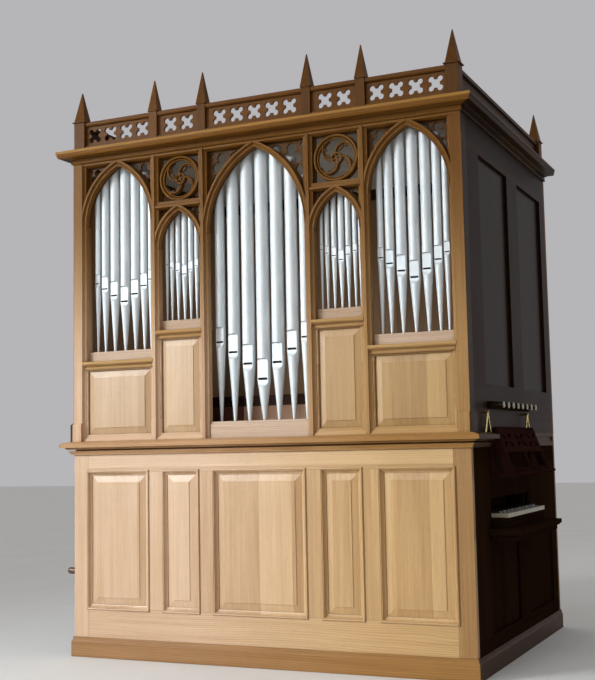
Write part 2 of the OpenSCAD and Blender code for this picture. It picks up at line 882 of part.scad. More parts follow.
// Seven pipes of one bay, mirrored about the middle pipe.
module pipe_row(ds, xs, mouths, z0, clear, top) {
    for (k = [-3 : 3]) {
        n = abs(k);
        translate([sign(k) * xs[n], pipe_front + ds[n] / 2, z0 + pipe_lift])
            pipe(ds[n], mouths[n], hidden_top(clear, top, xs[n], ds[n] / 2) - z0);
    }
}

module outer_pipes() {
    color(TIN) in_case()
        for (s = [-1, 1])
            translate([s * outer_bay_x, 0, 0])
                pipe_row(outer_d, outer_x, outer_mouth, outer_sill_z + toe_h, outer_clear, head_z);
}

module narrow_pipes() {
    color(TIN) in_case()
        for (s = [-1, 1])
            translate([s * inner_bay_x, 0, 0])
                pipe_row(inner_d, inner_x, inner_mouth, inner_sill_z + toe_h, inner_clear, narrow_top);
}

module centre_pipes() {
    color(TIN) in_case()
        pipe_row(centre_d, centre_x, centre_mouth, shelf_z + centre_toe_h, centre_clear, head_z);
}

// Top cornice: a square fillet, a large ovolo, a hollow and a small bead.
cornice_in = 50;
module cornice_profile() {
    h = cornice_h;
    o = cornice_out;
    fillet = 17;
    difference() {
        polygon([
            [-cornice_in, 0], [8, 0], [12, 5], [8, 10], [8, 32], [26, 32], [26, 36],
            [o - 4, 36], [o - 4, h - fillet], [o, h - fillet], [o, h], [-cornice_in, h]
        ]);
        // The hollow under the ovolo, then the waste outside the ovolo.
        translate([26, 21]) circle(r = 13);
        difference() {
            rect([30, 30], [o, h - fillet]);
            translate([30, h - fillet]) circle(r = o - 34);
        }
    }
}

module cornice() {
    color(OAK) in_case() {
        run_round(half_w, 0, case_d, cornice_out) translate([0, head_z]) cornice_profile();
        block([-half_w + cornice_in, case_d - cornice_in, head_z], [half_w - cornice_in, case_d, cornice_top]);
    }
}

module roof() {
    color(DARK_OAK) in_case() block([-half_w, 0, cornice_top], [half_w, case_d, roof_top]);
}

corner_post_w = 78;
corner_x = half_w - 4 - corner_post_w / 2;
parapet_y = 34;
base_rail_h = 22;
cap_h = 30;
post_cap_t = 6;

// Stretches of parapet between two posts: middle and clear length.
function stretch(x0, x1) = [(x0 + x1) / 2, x1 - x0];
half_post = parapet_post_w / 2;
parapet_bays = [
    stretch(-corner_x + corner_post_w / 2, -outer_mullion_x - half_post),
    stretch(-outer_mullion_x + half_post, -inner_mullion_x - half_post),
    stretch(-inner_mullion_x + half_post, inner_mullion_x - half_post),
    stretch(inner_mullion_x + half_post, outer_mullion_x - half_post),
    stretch(outer_mullion_x + half_post, corner_x - corner_post_w / 2)
];

// Four round petals set across the corners of a square middle.
module saltire_quatrefoil(w) {
    out = 0.3 * w;
    for (sx = [-1, 1], sz = [-1, 1])
        translate([sx * out, sz * out]) circle(r = 0.5 * w - out);
    square(2 * out, center = true);
}

module parapet_rails() {
    color(DARK_OAK) in_case()
        for (b = parapet_bays) {
            block([b[0] - b[1] / 2, 12, roof_top], [b[0] + b[1] / 2, 58, roof_top + base_rail_h]);
            translate([b[0] - b[1] / 2, 0, parapet_top - cap_h]) rotate([90, 0, 90]) linear_extrude(b[1])
                polygon([[10, 8], [16, 0], [54, 0], [60, 8], [60, cap_h - 8], [52, cap_h], [18, cap_h], [10, cap_h - 8]]);
        }
}

module parapet_tracery() {
    z0 = roof_top + base_rail_h;
    z1 = parapet_top - cap_h;
    color(DARK_OAK) in_case()
        for (b = parapet_bays)
            translate([b[0], 0, 0]) board(parapet_y - 7, parapet_y + 7) difference() {
                last = floor(b[1] / quatrefoil_pitch) - 1;
                rect([-b[1] / 2, z0], [b[1] / 2, z1]);
                for (k = [0 : last])
                    translate([(k - last / 2) * quatrefoil_pitch, (z0 + z1) / 2]) saltire_quatrefoil(quatrefoil_w);
            }
}

// Post of the parapet, with a thin cap under its pinnacle.
module parapet_post(w, over) {
    cap = w / 2 + over;
    block([-w / 2, parapet_y - w / 2, roof_top], [w / 2, parapet_y + w / 2, parapet_top]);
    block([-cap, parapet_y - cap, parapet_top], [cap, parapet_y + cap, parapet_top + post_cap_t]);
}

rear_y = case_d - 48;

module parapet_posts() {
    color(DARK_OAK) in_case() {
        for (x = mullion_places)
            translate([x, 0, 0]) parapet_post(parapet_post_w, spire_over + 1);
        both_sides() for (y = [corner_post_w / 2 + 2, rear_y])
            translate([corner_x, y - parapet_y, 0]) parapet_post(corner_post_w, 9);
    }
}

spire_over = 5;

// Four-sided spire with a blunt tip.
module pinnacle(w) {
    tip = pinnacle_h - post_cap_t;
    intersection() {
        rotate([90, 0, 0]) translate([0, 0, -w / 2]) linear_extrude(w) spire(w, tip);
        rotate([90, 0, 90]) translate([0, 0, -w / 2]) linear_extrude(w) spire(w, tip);
    }
}

module spire(w, tip) {
    polygon([[-w / 2, 0], [w / 2, 0], [2.5, tip], [-2.5, tip]]);
}

module pinnacles() {
    color(DARK_OAK) in_case() {
        for (x = mullion_places)
            translate([x, parapet_y, parapet_top + post_cap_t]) pinnacle(parapet_post_w + 2 * spire_over);
        both_sides() for (y = [corner_post_w / 2 + 2, rear_y])
            translate([corner_x, y, parapet_top + post_cap_t]) pinnacle(corner_post_w);
    }
}

module side_parapets() {
    y0 = corner_post_w + 2;
    y1 = rear_y - corner_post_w / 2;
    color(DARK_OAK) in_case() both_sides() {
        block([corner_x - 12, y0, roof_top], [corner_x + 12, y1, parapet_top - cap_h]);
        block([corner_x - 26, y0, parapet_top - cap_h], [corner_x + 26, y1, parapet_top - 8]);
    }
}

// Wind chest behind the pipes, carried on the impost.
// Its body is narrower than the board that it stands on, to leave room for the knobs' shanks.
module wind_chest() {
    inner = half_w - wall_t - 4;
    color(DARK_OAK) in_case() {
        block([-inner, 300, shelf_z], [inner, 620, shelf_z + 50]);
        block([-half_w + 120, 300, shelf_z + 50], [half_w - 120, 620, shelf_z + 260]);
    }
}

desk_y0 = console_y - desk_l / 2;
desk_y1 = console_y + desk_l / 2;
desk_x = half_w + desk_out;
key_y0 = console_y - keyboard_w / 2;
key_y1 = console_y + keyboard_w / 2;
key_back = half_w - 150;
recess_t = 18;

// Key desk: a nosed slab on a lower board, a stepped box under the keys, and the box of
// the recess inside the case.
module key_desk() {
    nose_r = 10;
    color(DARK_OAK) in_case() {
        difference() {
            block([lower_half, desk_y0, desk_z], [desk_x, desk_y1, slab_top]);
            for (y = [desk_y0, desk_y1])
                translate([lower_half - 1, y, desk_z]) rotate([0, 90, 0]) cylinder(r = nose_r, h = 400);
            translate([desk_x, 0, desk_z]) rotate([-90, 0, 0]) cylinder(r = nose_r, h = case_d);
        }
        block([lower_half, desk_y0 + 22, desk_z - 27], [desk_x - 24, desk_y1 - 22, desk_z]);
        for (k = [0 : 2]) {
            step = k == 1 ? 5 : 0;
            h = (key_bed_z - slab_top) / 3;
            block([lower_half, key_y0 - 12 + step, slab_top + k * h],
                [half_w + key_out - 6 - step, key_y1 + 12 - step, slab_top + (k + 1) * h]);
        }
        difference() {
            block([key_back - recess_t, key_y0 - recess_t, key_bed_z - recess_t],
                [lower_half - wall_t, key_y1 + recess_t, keyhole_z[1] + recess_t]);
            block([key_back, key_y0, key_bed_z], [half_w, key_y1, keyhole_z[1]]);
        }
    }
}

natural_w = keyboard_w / natural_count;
natural_l = half_w + key_out - key_back;
natural_t = 24;

module natural_keys() {
    color(IVORY) in_case()
        for (k = [0 : natural_count - 1])
            block([key_back, key_y0 + k * natural_w + key_gap / 2, key_bed_z],
                [key_back + natural_l, key_y0 + (k + 1) * natural_w - key_gap / 2, key_bed_z + natural_t]);
}

// Naturals that have a sharp after them, counted from C.
function has_sharp(k) = let (n = k % 7) n != 2 && n != 6;

module sharp_keys() {
    color(EBONY) in_case()
        for (k = [0 : natural_count - 2])
            if (has_sharp(k))
                translate([key_back, key_y0 + (k + 1) * natural_w, key_bed_z + natural_t])
                    rotate([90, 0, 0]) translate([0, 0, -5.5]) linear_extrude(11)
                        polygon([[0, 0], [natural_l - 50, 0], [natural_l - 56, 11], [0, 11]]);
}

knob_places = [for (k = [0 : knob_count - 1]) console_y + (k - (knob_count - 1) / 2) * knob_pitch];
jamb_t = 24;
jamb_half = 21;
knob_face = half_w + 80;
knob_head = 26;
knob_travel = 35;

module stop_jamb() {
    color(DARK_OAK) in_case() difference() {
        block([half_w - 3, knob_places[0] - 60, knob_z - jamb_half],
            [half_w - 3 + jamb_t, knob_places[knob_count - 1] + 60, knob_z + jamb_half]);
        for (y = knob_places)
            translate([half_w - 10, y, knob_z]) rotate([0, 90, 0]) cylinder(d = shank_d + 2 * shank_gap, h = 60);
    }
}

// Stop knob: a turned head with a slightly hollowed face on a round shank.
module stop_knob(k) {
    color(IVORY) in_case()
        translate([knob_face, knob_places[k], knob_z]) rotate([0, -90, 0]) rotate_extrude() union() {
            polygon([[0, 2], [knob_d / 2 - 4, 1.2], [knob_d / 2 - 1.5, 0], [knob_d / 2, 2], [knob_d / 2, 5],
                [knob_d / 2 - 5, 9], [shank_d / 2 + 1, 18], [shank_d / 2 + 3, knob_head - 2],
                [shank_d / 2 + 3, knob_head], [0, knob_head]]);
            square([shank_d / 2, 145]);
        }
}

// Music desk leaning back against the case, between two shaped cheeks.
music_y0 = console_y + 3 - music_w / 2;
music_y1 = music_y0 + music_w;
music_x0 = half_w + 24;
music_x1 = half_w + music_out;
music_rise = music_top_z - music_foot_z;
music_lean = atan((music_x1 - music_x0) / music_rise);
music_len = music_rise / cos(music_lean);
music_t = 16;

module music_desk() {
    w = music_y1 - music_y0;
    stile = 36;
    color(DARK_OAK) in_case() {
        // The board, drawn flat and then leant back: pierced crosses above, open between bars below.
        translate([music_x1, music_y0, music_foot_z]) rotate([0, -music_lean, 0]) rotate([90, 0, 90])
            linear_extrude(music_t) difference() {
                square([w, music_len]);
                for (k = [-1 : 1])
                    translate([w / 2 + k * w * 0.33, music_len * 0.73]) leaf_cross(w * 0.26, music_len * 0.3);
                for (x = [stile, w / 2 + stile / 2])
                    translate([x, music_len * 0.16]) square([w / 2 - stile * 1.5, music_len * 0.32]);
            }
        // The ledge that holds the books.
        translate([music_x1, music_y0, music_foot_z]) rotate([0, -music_lean, 0])
            block([music_t, 0, 0], [music_t + 34, w, 14]);
        for (y = [music_y0, music_y1 - 20])
            translate([0, y + 20, 0]) rotate([90, 0, 0]) linear_extrude(20) music_cheek();
    }
}

// Four leaves that point to the middle of a w by h field.
module leaf_cross(w, h) {
    turn = atan((0.8 * w) / (0.75 * h));
    for (sx = [-1, 1], sz = [-1, 1])
        translate([sx * 0.28 * w, sz * 0.27 * h]) rotate(-sx * sz * turn) dagger(0.28 * h, 0.4 * w);
}

// Open bracket that carries the music desk on the wall.
module music_cheek() {
    rim = 26;
    inner_w = music_x1 - 1.8 * rim - lower_half - rim;
    difference() {
        polygon([[lower_half, music_foot_z], [music_x1, music_foot_z], [music_x0, music_top_z],
            [half_w + block_out + 1, music_top_z], [half_w + block_out + 1, shelf_z + 2], [lower_half, shelf_z - 20]]);
        translate([lower_half + rim, music_foot_z + rim])
            polygon([[0, 0], [inner_w, 0], [0, inner_w / tan(music_lean)]]);
    }
}

stay_top = 1438;

// Pair of splayed brass rods that hang from a pin in the case, x in front of it.
module stay(x, y, foot_z) {
    rod_r = 6;
    rise = stay_top - foot_z;
    splay = 24;
    translate([half_w + x, y, stay_top]) {
        intersection() {
            for (s = [-1, 1])
                rotate([s * splay, 0, 0]) translate([0, 0, -2 * rise]) cylinder(r = rod_r, h = 2 * rise);
            block([-20, -rise, -rise], [20, rise, 20]);
        }
        rotate([0, -90, 0]) translate([0, 0, -rod_r - 2]) cylinder(r = 8, h = x + 3 + rod_r + 2);
    }
}

module desk_stays() {
    color(BRASS) in_case() {
        stay(16, desk_y0 - 2, shelf_z);
        stay(28, desk_y1 - 162, music_top_z + 3.8);
    }
}

// Two cheeks that stand on the plinth and carry the pin of the blowing handle.
module handle_bracket() {
    color(DARK_OAK) in_case() {
        for (s = [-1, 1])
            translate([pivot_x, handle_y + s * (lever_r + 7 + 11) + 11, 0]) rotate([90, 0, 0]) linear_extrude(22)
                polygon([[-18, plinth_h], [18, plinth_h], [18, handle_z + 14], [10, handle_z + 22],
                    [-10, handle_z + 22], [-18, handle_z + 14]]);
        translate([pivot_x, handle_y - lever_r - 10, handle_z]) rotate([-90, 0, 0]) cylinder(r = pin_r, h = 2 * lever_r + 20);
    }
}

// Blowing handle: a turned grip on a round lever that pivots on a bracket inside the case.
module blowing_handle() {
    reach = handle_out + pivot_in;
    r = handle_d / 2;
    color(DARK_OAK) in_case() translate([pivot_x, handle_y, handle_z]) difference() {
        rotate([0, -90, 0]) rotate_extrude() union() {
            polygon([
                [0, -50], [lever_r, -50], [lever_r, reach - 170], [lever_r - 4, reach - 160],
                [lever_r + 1, reach - 120], [r, reach - 60], [r, reach - r], [0, reach - r]
            ]);
            intersection() {
                translate([0, reach - r]) circle(r = r);
                rect([0, 0], [r, reach]);
            }
        }
        rotate([90, 0, 0]) cylinder(r = pin_r + pin_gap, h = handle_d, center = true);
    }
}

plinth();
lower_front_frame();
lower_front_panels();
lower_side_frames();
upper_side_frames();
side_panels();
back_frame();
back_panels();
impost();
corner_posts();
mullions();
outer_arches();
narrow_arches();
centre_arch();
wheel_panels();
front_rails();
sills();
upper_front_panels();
outer_pipes();
narrow_pipes();
centre_pipes();
cornice();
roof();
parapet_rails();
parapet_tracery();
parapet_posts();
pinnacles();
side_parapets();
wind_chest();
key_desk();
natural_keys();
sharp_keys();
stop_jamb();
music_desk();
desk_stays();
handle_bracket();
blowing_handle();
stop_knob(0);  // stop_knob_1
stop_knob(1);  // stop_knob_2
stop_knob(2);  // stop_knob_3
stop_knob(3);  // stop_knob_4
stop_knob(4);  // stop_knob_5
stop_knob(5);  // stop_knob_6
stop_knob(6);  // stop_knob_7
stop_knob(7);  // stop_knob_8
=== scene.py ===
"""Looks for the pipe organ: oak case, display pipes, console, floor, light and camera."""

import math

import bmesh
import bpy
from mathutils import Matrix, Vector


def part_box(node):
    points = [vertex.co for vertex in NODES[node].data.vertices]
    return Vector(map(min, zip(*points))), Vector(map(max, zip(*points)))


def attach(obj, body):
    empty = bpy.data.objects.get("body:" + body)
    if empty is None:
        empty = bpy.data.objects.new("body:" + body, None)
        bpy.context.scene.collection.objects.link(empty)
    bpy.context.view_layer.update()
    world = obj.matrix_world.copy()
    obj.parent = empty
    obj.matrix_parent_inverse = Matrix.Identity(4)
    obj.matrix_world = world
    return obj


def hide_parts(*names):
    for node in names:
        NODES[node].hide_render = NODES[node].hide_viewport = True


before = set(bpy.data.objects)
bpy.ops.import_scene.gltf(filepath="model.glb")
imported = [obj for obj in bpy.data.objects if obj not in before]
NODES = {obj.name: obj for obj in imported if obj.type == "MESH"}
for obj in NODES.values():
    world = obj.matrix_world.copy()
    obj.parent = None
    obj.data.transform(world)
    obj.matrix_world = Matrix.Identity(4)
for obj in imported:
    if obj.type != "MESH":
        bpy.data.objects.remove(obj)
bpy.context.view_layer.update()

# Main sizes of the case, in metres, read from the CAD pieces.
ROOF_LOW, ROOF_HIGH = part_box("roof")
HALF_W = ROOF_HIGH.x
FRONT_Y = ROOF_LOW.y
BACK_Y = ROOF_HIGH.y
SHELF_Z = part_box("corner_posts")[0].z


class Sum:
    """One shader socket, wrapped so that shader maths reads as an ordinary expression."""

    def __init__(self, finish, socket):
        self.finish = finish
        self.socket = socket

    def math(self, operation, *others, clamp=False):
        settings = {"operation": operation, "use_clamp": clamp}
        return self.finish.node("ShaderNodeMath", settings, [self, *others])

    def __add__(self, other):
        return self.math("ADD", other)

    __radd__ = __add__

    def __sub__(self, other):
        return self.math("SUBTRACT", other)

    def __rsub__(self, other):
        return self.finish.node("ShaderNodeMath", {"operation": "SUBTRACT"}, [other, self])

    def __mul__(self, other):
        return self.math("MULTIPLY", other)

    __rmul__ = __mul__

    def __truediv__(self, other):
        return self.math("DIVIDE", other)

    def __abs__(self):
        return self.math("ABSOLUTE")

    def __gt__(self, other):
        return self.math("GREATER_THAN", other)

    def __lt__(self, other):
        return self.math("LESS_THAN", other)

    def floor(self):
        return self.math("FLOOR")

    def clamp(self):
        return self.math("ADD", 0.0, clamp=True)

    def sine(self):
        return self.math("SINE")

    def most(self, other):
        return self.math("MAXIMUM", other)

    def smooth(self, low, high):
        """0 below low, 1 above high, and a soft step between them."""
        return self.finish.node("ShaderNodeMapRange", {"interpolation_type": "SMOOTHSTEP"}, [self, low, high])


class Finish:
    """One procedural material or world, with the few kinds of node that they need.

    In a material, x, y and z are the coordinates in the object's own frame.
    """

    def __init__(self, name, owner=None):
        self.material = owner or bpy.data.materials.new(name)
        self.material.use_nodes = True
        self.tree = self.material.node_tree
        self.tree.nodes.clear()
        if owner is None:
            self.shader = self.tree.nodes.new("ShaderNodeBsdfPrincipled")
            self.node("ShaderNodeOutputMaterial", inputs=[Sum(self, self.shader.outputs[0])], output=None)
            place = self.node("ShaderNodeTexCoord", output="Object")
            self.x = self.coordinate(place, "X")
            self.y = self.coordinate(place, "Y")
            self.z = self.coordinate(place, "Z")

    def node(self, kind, settings=None, inputs=(), output=0):
        """A node of any kind: its settings first, then its inputs by number or by name."""
        node = self.tree.nodes.new(kind)
        for key, value in (settings or {}).items():
            if key == "stops":
                ramp = node.color_ramp
                while len(ramp.elements) < len(value):
                    ramp.elements.new(0.5)
                for element, (place, colour) in zip(ramp.elements, value):
                    element.position = place
                    element.color = (*colour, 1.0)
            else:
                setattr(node, key, value)
        pairs = inputs.items() if isinstance(inputs, dict) else enumerate(inputs)
        for key, value in pairs:
            self.plug(value, node.inputs[key])
        return None if output is None else Sum(self, node.outputs[output])

    def plug(self, value, socket):
        """Links a shader value to a socket, or sets the socket to a plain one."""
        if isinstance(value, Sum):
            self.tree.links.new(value.socket, socket)
        else:
            socket.default_value = value

    def coordinate(self, place, axis):
        return self.node("ShaderNodeSeparateXYZ", inputs=[place], output=axis)

    def vector(self, x, y, z):
        return self.node("ShaderNodeCombineXYZ", inputs=[x, y, z])

    def along(self, grain):
        """The three coordinates: first the one along the grain, then the two across it."""
        orders = {"x": (self.x, self.y, self.z), "y": (self.y, self.x, self.z), "z": (self.z, self.x, self.y)}
        return orders[grain]

    def noise(self, place, detail=3.0, roughness=0.5):
        inputs = {"Vector": place, "Scale": 1.0, "Detail": detail, "Roughness": roughness}
        return self.node("ShaderNodeTexNoise", {"noise_dimensions": "3D"}, inputs)

    def cloud(self, x_scale, y_scale, z_scale, detail=3.0, roughness=0.5):
        """Noise with a scale of its own along each axis of the object."""
        place = self.vector(self.x * x_scale, self.y * y_scale, self.z * z_scale)
        return self.noise(place, detail, roughness)

    def random(self, place):
        """A random number for each whole-number place."""
        return self.node("ShaderNodeTexWhiteNoise", {"noise_dimensions": "3D"}, {"Vector": place})

    def ramp(self, factor, stops):
        return self.node("ShaderNodeValToRGB", {"stops": stops}, [factor])

    def mix(self, factor, first, second, blend="MIX"):
        """Two colours mixed. Of the node's sockets, 0, 6 and 7 take a colour mix and 2 gives it."""
        node = self.tree.nodes.new("ShaderNodeMix")
        node.data_type = "RGBA"
        node.blend_type = blend
        for value, key in ((factor, 0), (first, 6), (second, 7)):
            if isinstance(value, tuple):
                value = (*value, 1.0)
            self.plug(value, node.inputs[key])
        return Sum(self, node.outputs[2])

    def bump(self, height, distance, strength=1.0, normal=None):
        inputs = {"Strength": strength, "Distance": distance, "Height": height}
        if normal is not None:
            inputs["Normal"] = normal
        return self.node("ShaderNodeBump", inputs=inputs)

    def eased(self, radius):
        """The surface normal with its corners eased."""
        return self.node("ShaderNodeBevel", {"samples": 4}, {"Radius": radius})

    def edges(self, eased):
        """Near 1 along edges, where the eased normal leaves the flat one."""
        flat = self.node("ShaderNodeNewGeometry", output="Normal")
        settings = {"operation": "DOT_PRODUCT"}
        likeness = self.node("ShaderNodeVectorMath", settings, [eased, flat], output="Value")
        return (1.0 - likeness).smooth(0.02, 0.22)

    def hollow(self, reach):
        """Near 1 in corners and recesses, where little light reaches; it is used to paint shade there."""
        open_share = self.node("ShaderNodeAmbientOcclusion", {"samples": 4}, {"Distance": reach}, output="AO")
        return (1.0 - open_share).smooth(0.25, 0.85)

    def set(self, **values):
        """Sets inputs of the material's shader by name, and gives the material back."""
        for key, value in values.items():
            socket = self.shader.inputs[key.replace("_", " ")]
            if isinstance(value, tuple):
                value = (*value, 1.0)
            self.plug(value, socket)
        return self.material


def linear(value):
    """One channel of a colour on screen, from 0 to 255, turned into the shader's linear value."""
    share = value / 255
    return share / 12.92 if value <= 10 else ((share + 0.055) / 1.055) ** 2.4


def tone(red, green, blue):
    """A colour as it looks on screen, turned into the shader's linear values."""
    return tuple(linear(value) for value in (red, green, blue))


def scaled(colour, share):
    """A colour made darker or lighter by one share, at most 1 in each channel."""
    return tuple(min(1.0, channel * share) for channel in colour)


def wood_stops(light, mid, dark):
    """Stops of a colour ramp through the three tones of a wood."""
    return [(0.22, dark), (0.50, mid), (0.80, light)]


# How far the joints between boards of turned grain are moved, in widths of a board.
TURNED_SHIFT = -0.345
# Radians of the growth rings' wave for each metre across the grain, which puts the lines 7 mm apart.
RING_TURN = 890.0


def oak(name, light, mid, dark, grain="z", turned=None, turned_grain="x", board=0.29, deep=0.29, gloss=0.38,
        coat=0.12, sheen=0.4, joints=None, aged=(), inside_wood_and_light=None, waxed=None):
    """Waxed oak: fine straight grain, pores, short rays, painted shade in the corners and rubbed edges.

    Each board gets a tone of its own: board and deep are the widths at which a new one starts, counted
    from the middle of the case. turned gives 1 where the grain runs along turned_grain instead, and joints
    gives 1 on a joint line. aged lists masks, each with the share of red, green and blue that is left: some
    are the wood's own tone and most are painted light or painted shade. inside_wood_and_light holds the paler
    tones inside the case, partly bare wood and partly painted light, and waxed gives 1 where the wood is
    waxed, if that isn't everywhere.
    """
    f = Finish(name)
    run, wide, thick = f.along(grain)
    place = abs(wide) / board
    if turned is not None:
        mask = turned(f)
        run2, wide2, thick2 = f.along(turned_grain)
        place = place + mask * (abs(wide2) / board + TURNED_SHIFT - place)
        run, wide, thick = (a + mask * (b - a) for a, b in ((run, run2), (wide, wide2), (thick, thick2)))
    shift = f.random(f.vector(place.floor(), (abs(thick) / deep).floor(), wide > 0.0))

    def figure(across, along, shift_across=0.0, shift_along=0.0, **settings):
        """Noise drawn out along the grain, and shifted from board to board."""
        return f.noise(f.vector(wide * across + shift * shift_across, thick * across,
                                run * along + shift * shift_along), **settings)

    bend = figure(3.0, 0.5, shift_across=9.0, shift_along=5.0, detail=2.0)
    rings = ((wide + thick * 0.6) * RING_TURN + bend * 90.0).sine() * 0.5 + 0.5
    streaks = figure(60.0, 1.4, shift_along=7.0, roughness=0.6)
    broad = figure(9.0, 0.7, shift_across=4.0, detail=2.0)
    pores = figure(700.0, 22.0, detail=2.0, roughness=0.6).smooth(0.56, 0.72)
    rays = figure(150.0, 45.0, detail=1.0).smooth(0.60, 0.74)
    stain = f.cloud(1.7, 1.7, 1.7, detail=4.0, roughness=0.6)
    value = rings * 0.13 + streaks * 0.38 + broad * 0.28 + shift * 0.22
    colour = f.ramp(value, wood_stops(light, mid, dark))
    for mask_of, left in aged:
        colour = f.mix(mask_of(f), colour, left, "MULTIPLY")
    # Paler tones inside the case: partly bare wood, partly painted light.
    if inside_wood_and_light is not None:
        colour = f.mix(inside(f), colour, f.ramp(value, wood_stops(**inside_wood_and_light)))
    colour = f.mix(pores * 0.30, colour, scaled(dark, 0.45))
    colour = f.mix(rays * 0.12, colour, light)
    colour = f.mix(stain.smooth(0.42, 0.74) * 0.18, colour, scaled(mid, 0.75))
    # Painted shade: darker in corners and recesses, where little light reaches.
    colour = f.mix(f.hollow(reach=0.035) * 0.62, colour, scaled(dark, 0.30))
    normal = f.eased(radius=0.0022)
    edge = f.edges(normal)
    colour = f.mix(edge * stain.smooth(0.34, 0.62) * 0.45, colour, scaled(light, 1.18))
    height = pores * -0.6 + rings * 0.15 + streaks * 0.25
    if joints is not None:
        line = joints(f)
        colour = f.mix(line * 0.75, colour, scaled(dark, 0.25))
        height = height - line * 2.0
    rough = streaks * 0.14 + stain * 0.12 + edge * -0.08 + (gloss - 0.1)
    return f.set(Base_Color=colour, Roughness=rough, Specular_IOR_Level=sheen,
                 Normal=f.bump(height, distance=0.0005, strength=0.45, normal=normal),
                 Coat_Weight=coat if waxed is None else waxed(f) * coat, Coat_Roughness=0.25)


# Tones of the woods.
HONEY = dict(light=tone(214, 177, 126), mid=tone(193, 153, 101), dark=tone(158, 116, 68))
AMBER = dict(light=tone(178, 133, 80), mid=tone(150, 108, 60), dark=tone(114, 78, 40))
GOLDEN = dict(light=tone(194, 156, 106), mid=tone(170, 131, 84), dark=tone(132, 95, 54))
TAWNY = dict(light=tone(136, 90, 38), mid=tone(110, 71, 27), dark=tone(79, 49, 17))
TOFFEE = dict(light=tone(174, 126, 60), mid=tone(143, 100, 44), dark=tone(104, 69, 28))
REDDISH = dict(light=tone(66, 38, 33), mid=tone(50, 27, 23), dark=tone(33, 18, 15))
# The upper panels' tones: a little more golden than the lower ones, and darker as painted shade for the
# dimmer light high up.
GOLDER_WITH_PAINTED_SHADE = dict(light=tone(198, 160, 106), mid=tone(176, 138, 86), dark=tone(142, 104, 58))
# The oak of the sides, console and roof, darkened as painted shade: the front's wood in the tones it shows in
# shade.
PAINTED_SHADE_OAK = dict(light=tone(60, 38, 24), mid=tone(43, 27, 16), dark=tone(26, 16, 10))
# Pale grey under the roof: painted light for the light seen through the pierced wheels.
PAINTED_LIGHT_ROOF_INSIDE = dict(light=tone(184, 180, 170), mid=tone(164, 159, 148), dark=tone(138, 132, 120))
# Inside faces of the sides and back: bare wood, made paler as painted light for the light that reaches
# inside.
BARE_WOOD_AND_PAINTED_LIGHT = dict(light=tone(172, 142, 112), mid=tone(148, 119, 92), dark=tone(118, 92, 70))
PINKISH = dict(light=tone(212, 174, 148), mid=tone(190, 150, 122), dark=tone(158, 118, 92))
BROWN = dict(light=tone(112, 80, 58), mid=tone(88, 62, 45), dark=tone(60, 41, 30))

# Places where the masks change, in metres, and half the width of a joint line. A pair is the bottom and
# the top of a band of panels, or the two ends of a fade.
LOWER_PANELS = (0.300, 1.132)
LOWER_SIDE_PANELS = (0.200, 1.132)
UPPER_SIDE_PANELS = (1.600, 2.930)
CORNER_STILE = HALF_W - 0.107
JOINT_HALF = 0.0007
OUTER_FACE = HALF_W - 0.0015
CENTRE_TOE_HALF = 0.3265
CENTRE_TOE_TOP = SHELF_Z + 0.101
TOE_FRONT = FRONT_Y + 0.0505
RIB_BACK = FRONT_Y + 0.050
CHEST_SHADE_LOW = SHELF_Z + 0.195
CHEST_SHADE_END = -0.24
NOSING_BOTTOM = ROOF_LOW.z - 0.018
WINDOW_FADE = (-0.6, 1.0)
HEIGHT_FADE = (SHELF_Z + 0.3, SHELF_Z + 1.6)
INNER_X = HALF_W - 0.036
INNER_Y = BACK_Y - 0.032
INNER_Z = ROOF_LOW.z + 0.0005


def rails(f, panels):
    """1 above and below a band of panels, where the rails of their frame are."""
    return ((f.z > panels[1]) + (f.z < panels[0])).clamp()


def front_rails(f):
    """1 on the rails of the lower front, which run between its two outer stiles."""
    return rails(f, LOWER_PANELS) * (abs(f.x) < CORNER_STILE)


def front_joints(f):
    """Joint lines of the lower front: at the ends of the rails, and where the inner stiles meet them."""
    ends = (abs(abs(f.x) - CORNER_STILE) < JOINT_HALF) * rails(f, LOWER_PANELS)
    across = (abs(f.z - LOWER_PANELS[1]) < JOINT_HALF) + (abs(f.z - LOWER_PANELS[0]) < JOINT_HALF)
    return (ends + across * (abs(f.x) < CORNER_STILE)).clamp()


def lower_side_rails(f):
    """1 on the rails of the lower sides."""
    return rails(f, LOWER_SIDE_PANELS)


def upper_side_rails(f):
    """1 on the rails of the upper sides."""
    return rails(f, UPPER_SIDE_PANELS)


def outer_stile(f):
    """1 on the corner stile beside the console."""
    return f.x > CORNER_STILE


def case_sides(f):
    """1 on the outer faces of the corner posts, which get the same painted shade as the sides."""
    return abs(f.x) > OUTER_FACE


def toe_boards(f):
    """1 on the boards that the pipes stand on, which are paler than the mouldings before them."""
    return ((abs(f.x) < CENTRE_TOE_HALF) * (f.z < CENTRE_TOE_TOP) + (f.y > TOE_FRONT)).clamp()


def above_shelf(f):
    """1 on the upper half of the case."""
    return f.z > SHELF_Z


def chest_top_band(f):
    """1 along the top of the wind chest, where painted shade stands for the dark gap above it."""
    return f.z > CHEST_SHADE_LOW


def chest_left_part(f):
    """1 on the wind chest left of the middle, which gets painted shade."""
    return f.x < CHEST_SHADE_END


def towards_window(f):
    """From 0 at the console end of the front to 1 at the other end, the end that the window lamp lights from.
    """
    return 1.0 - f.x.smooth(*WINDOW_FADE)


def all_over(f):
    """1 everywhere."""
    return 1.0


def towards_top(f):
    """From 0 at the shelf to 1 at the top of the case."""
    return f.z.smooth(*HEIGHT_FADE)


def low_by_window(f):
    """From 1 low on the upper case at the window's end to 0 at its top and its other end."""
    return towards_window(f) * (1.0 - towards_top(f))


def cornice_hollow(f):
    """1 on the hollow of the cornice, under its nosing."""
    return f.z < NOSING_BOTTOM


def behind_ribs(f):
    """1 on the pierced boards that lie deep behind the moulded ribs."""
    return f.y > RIB_BACK


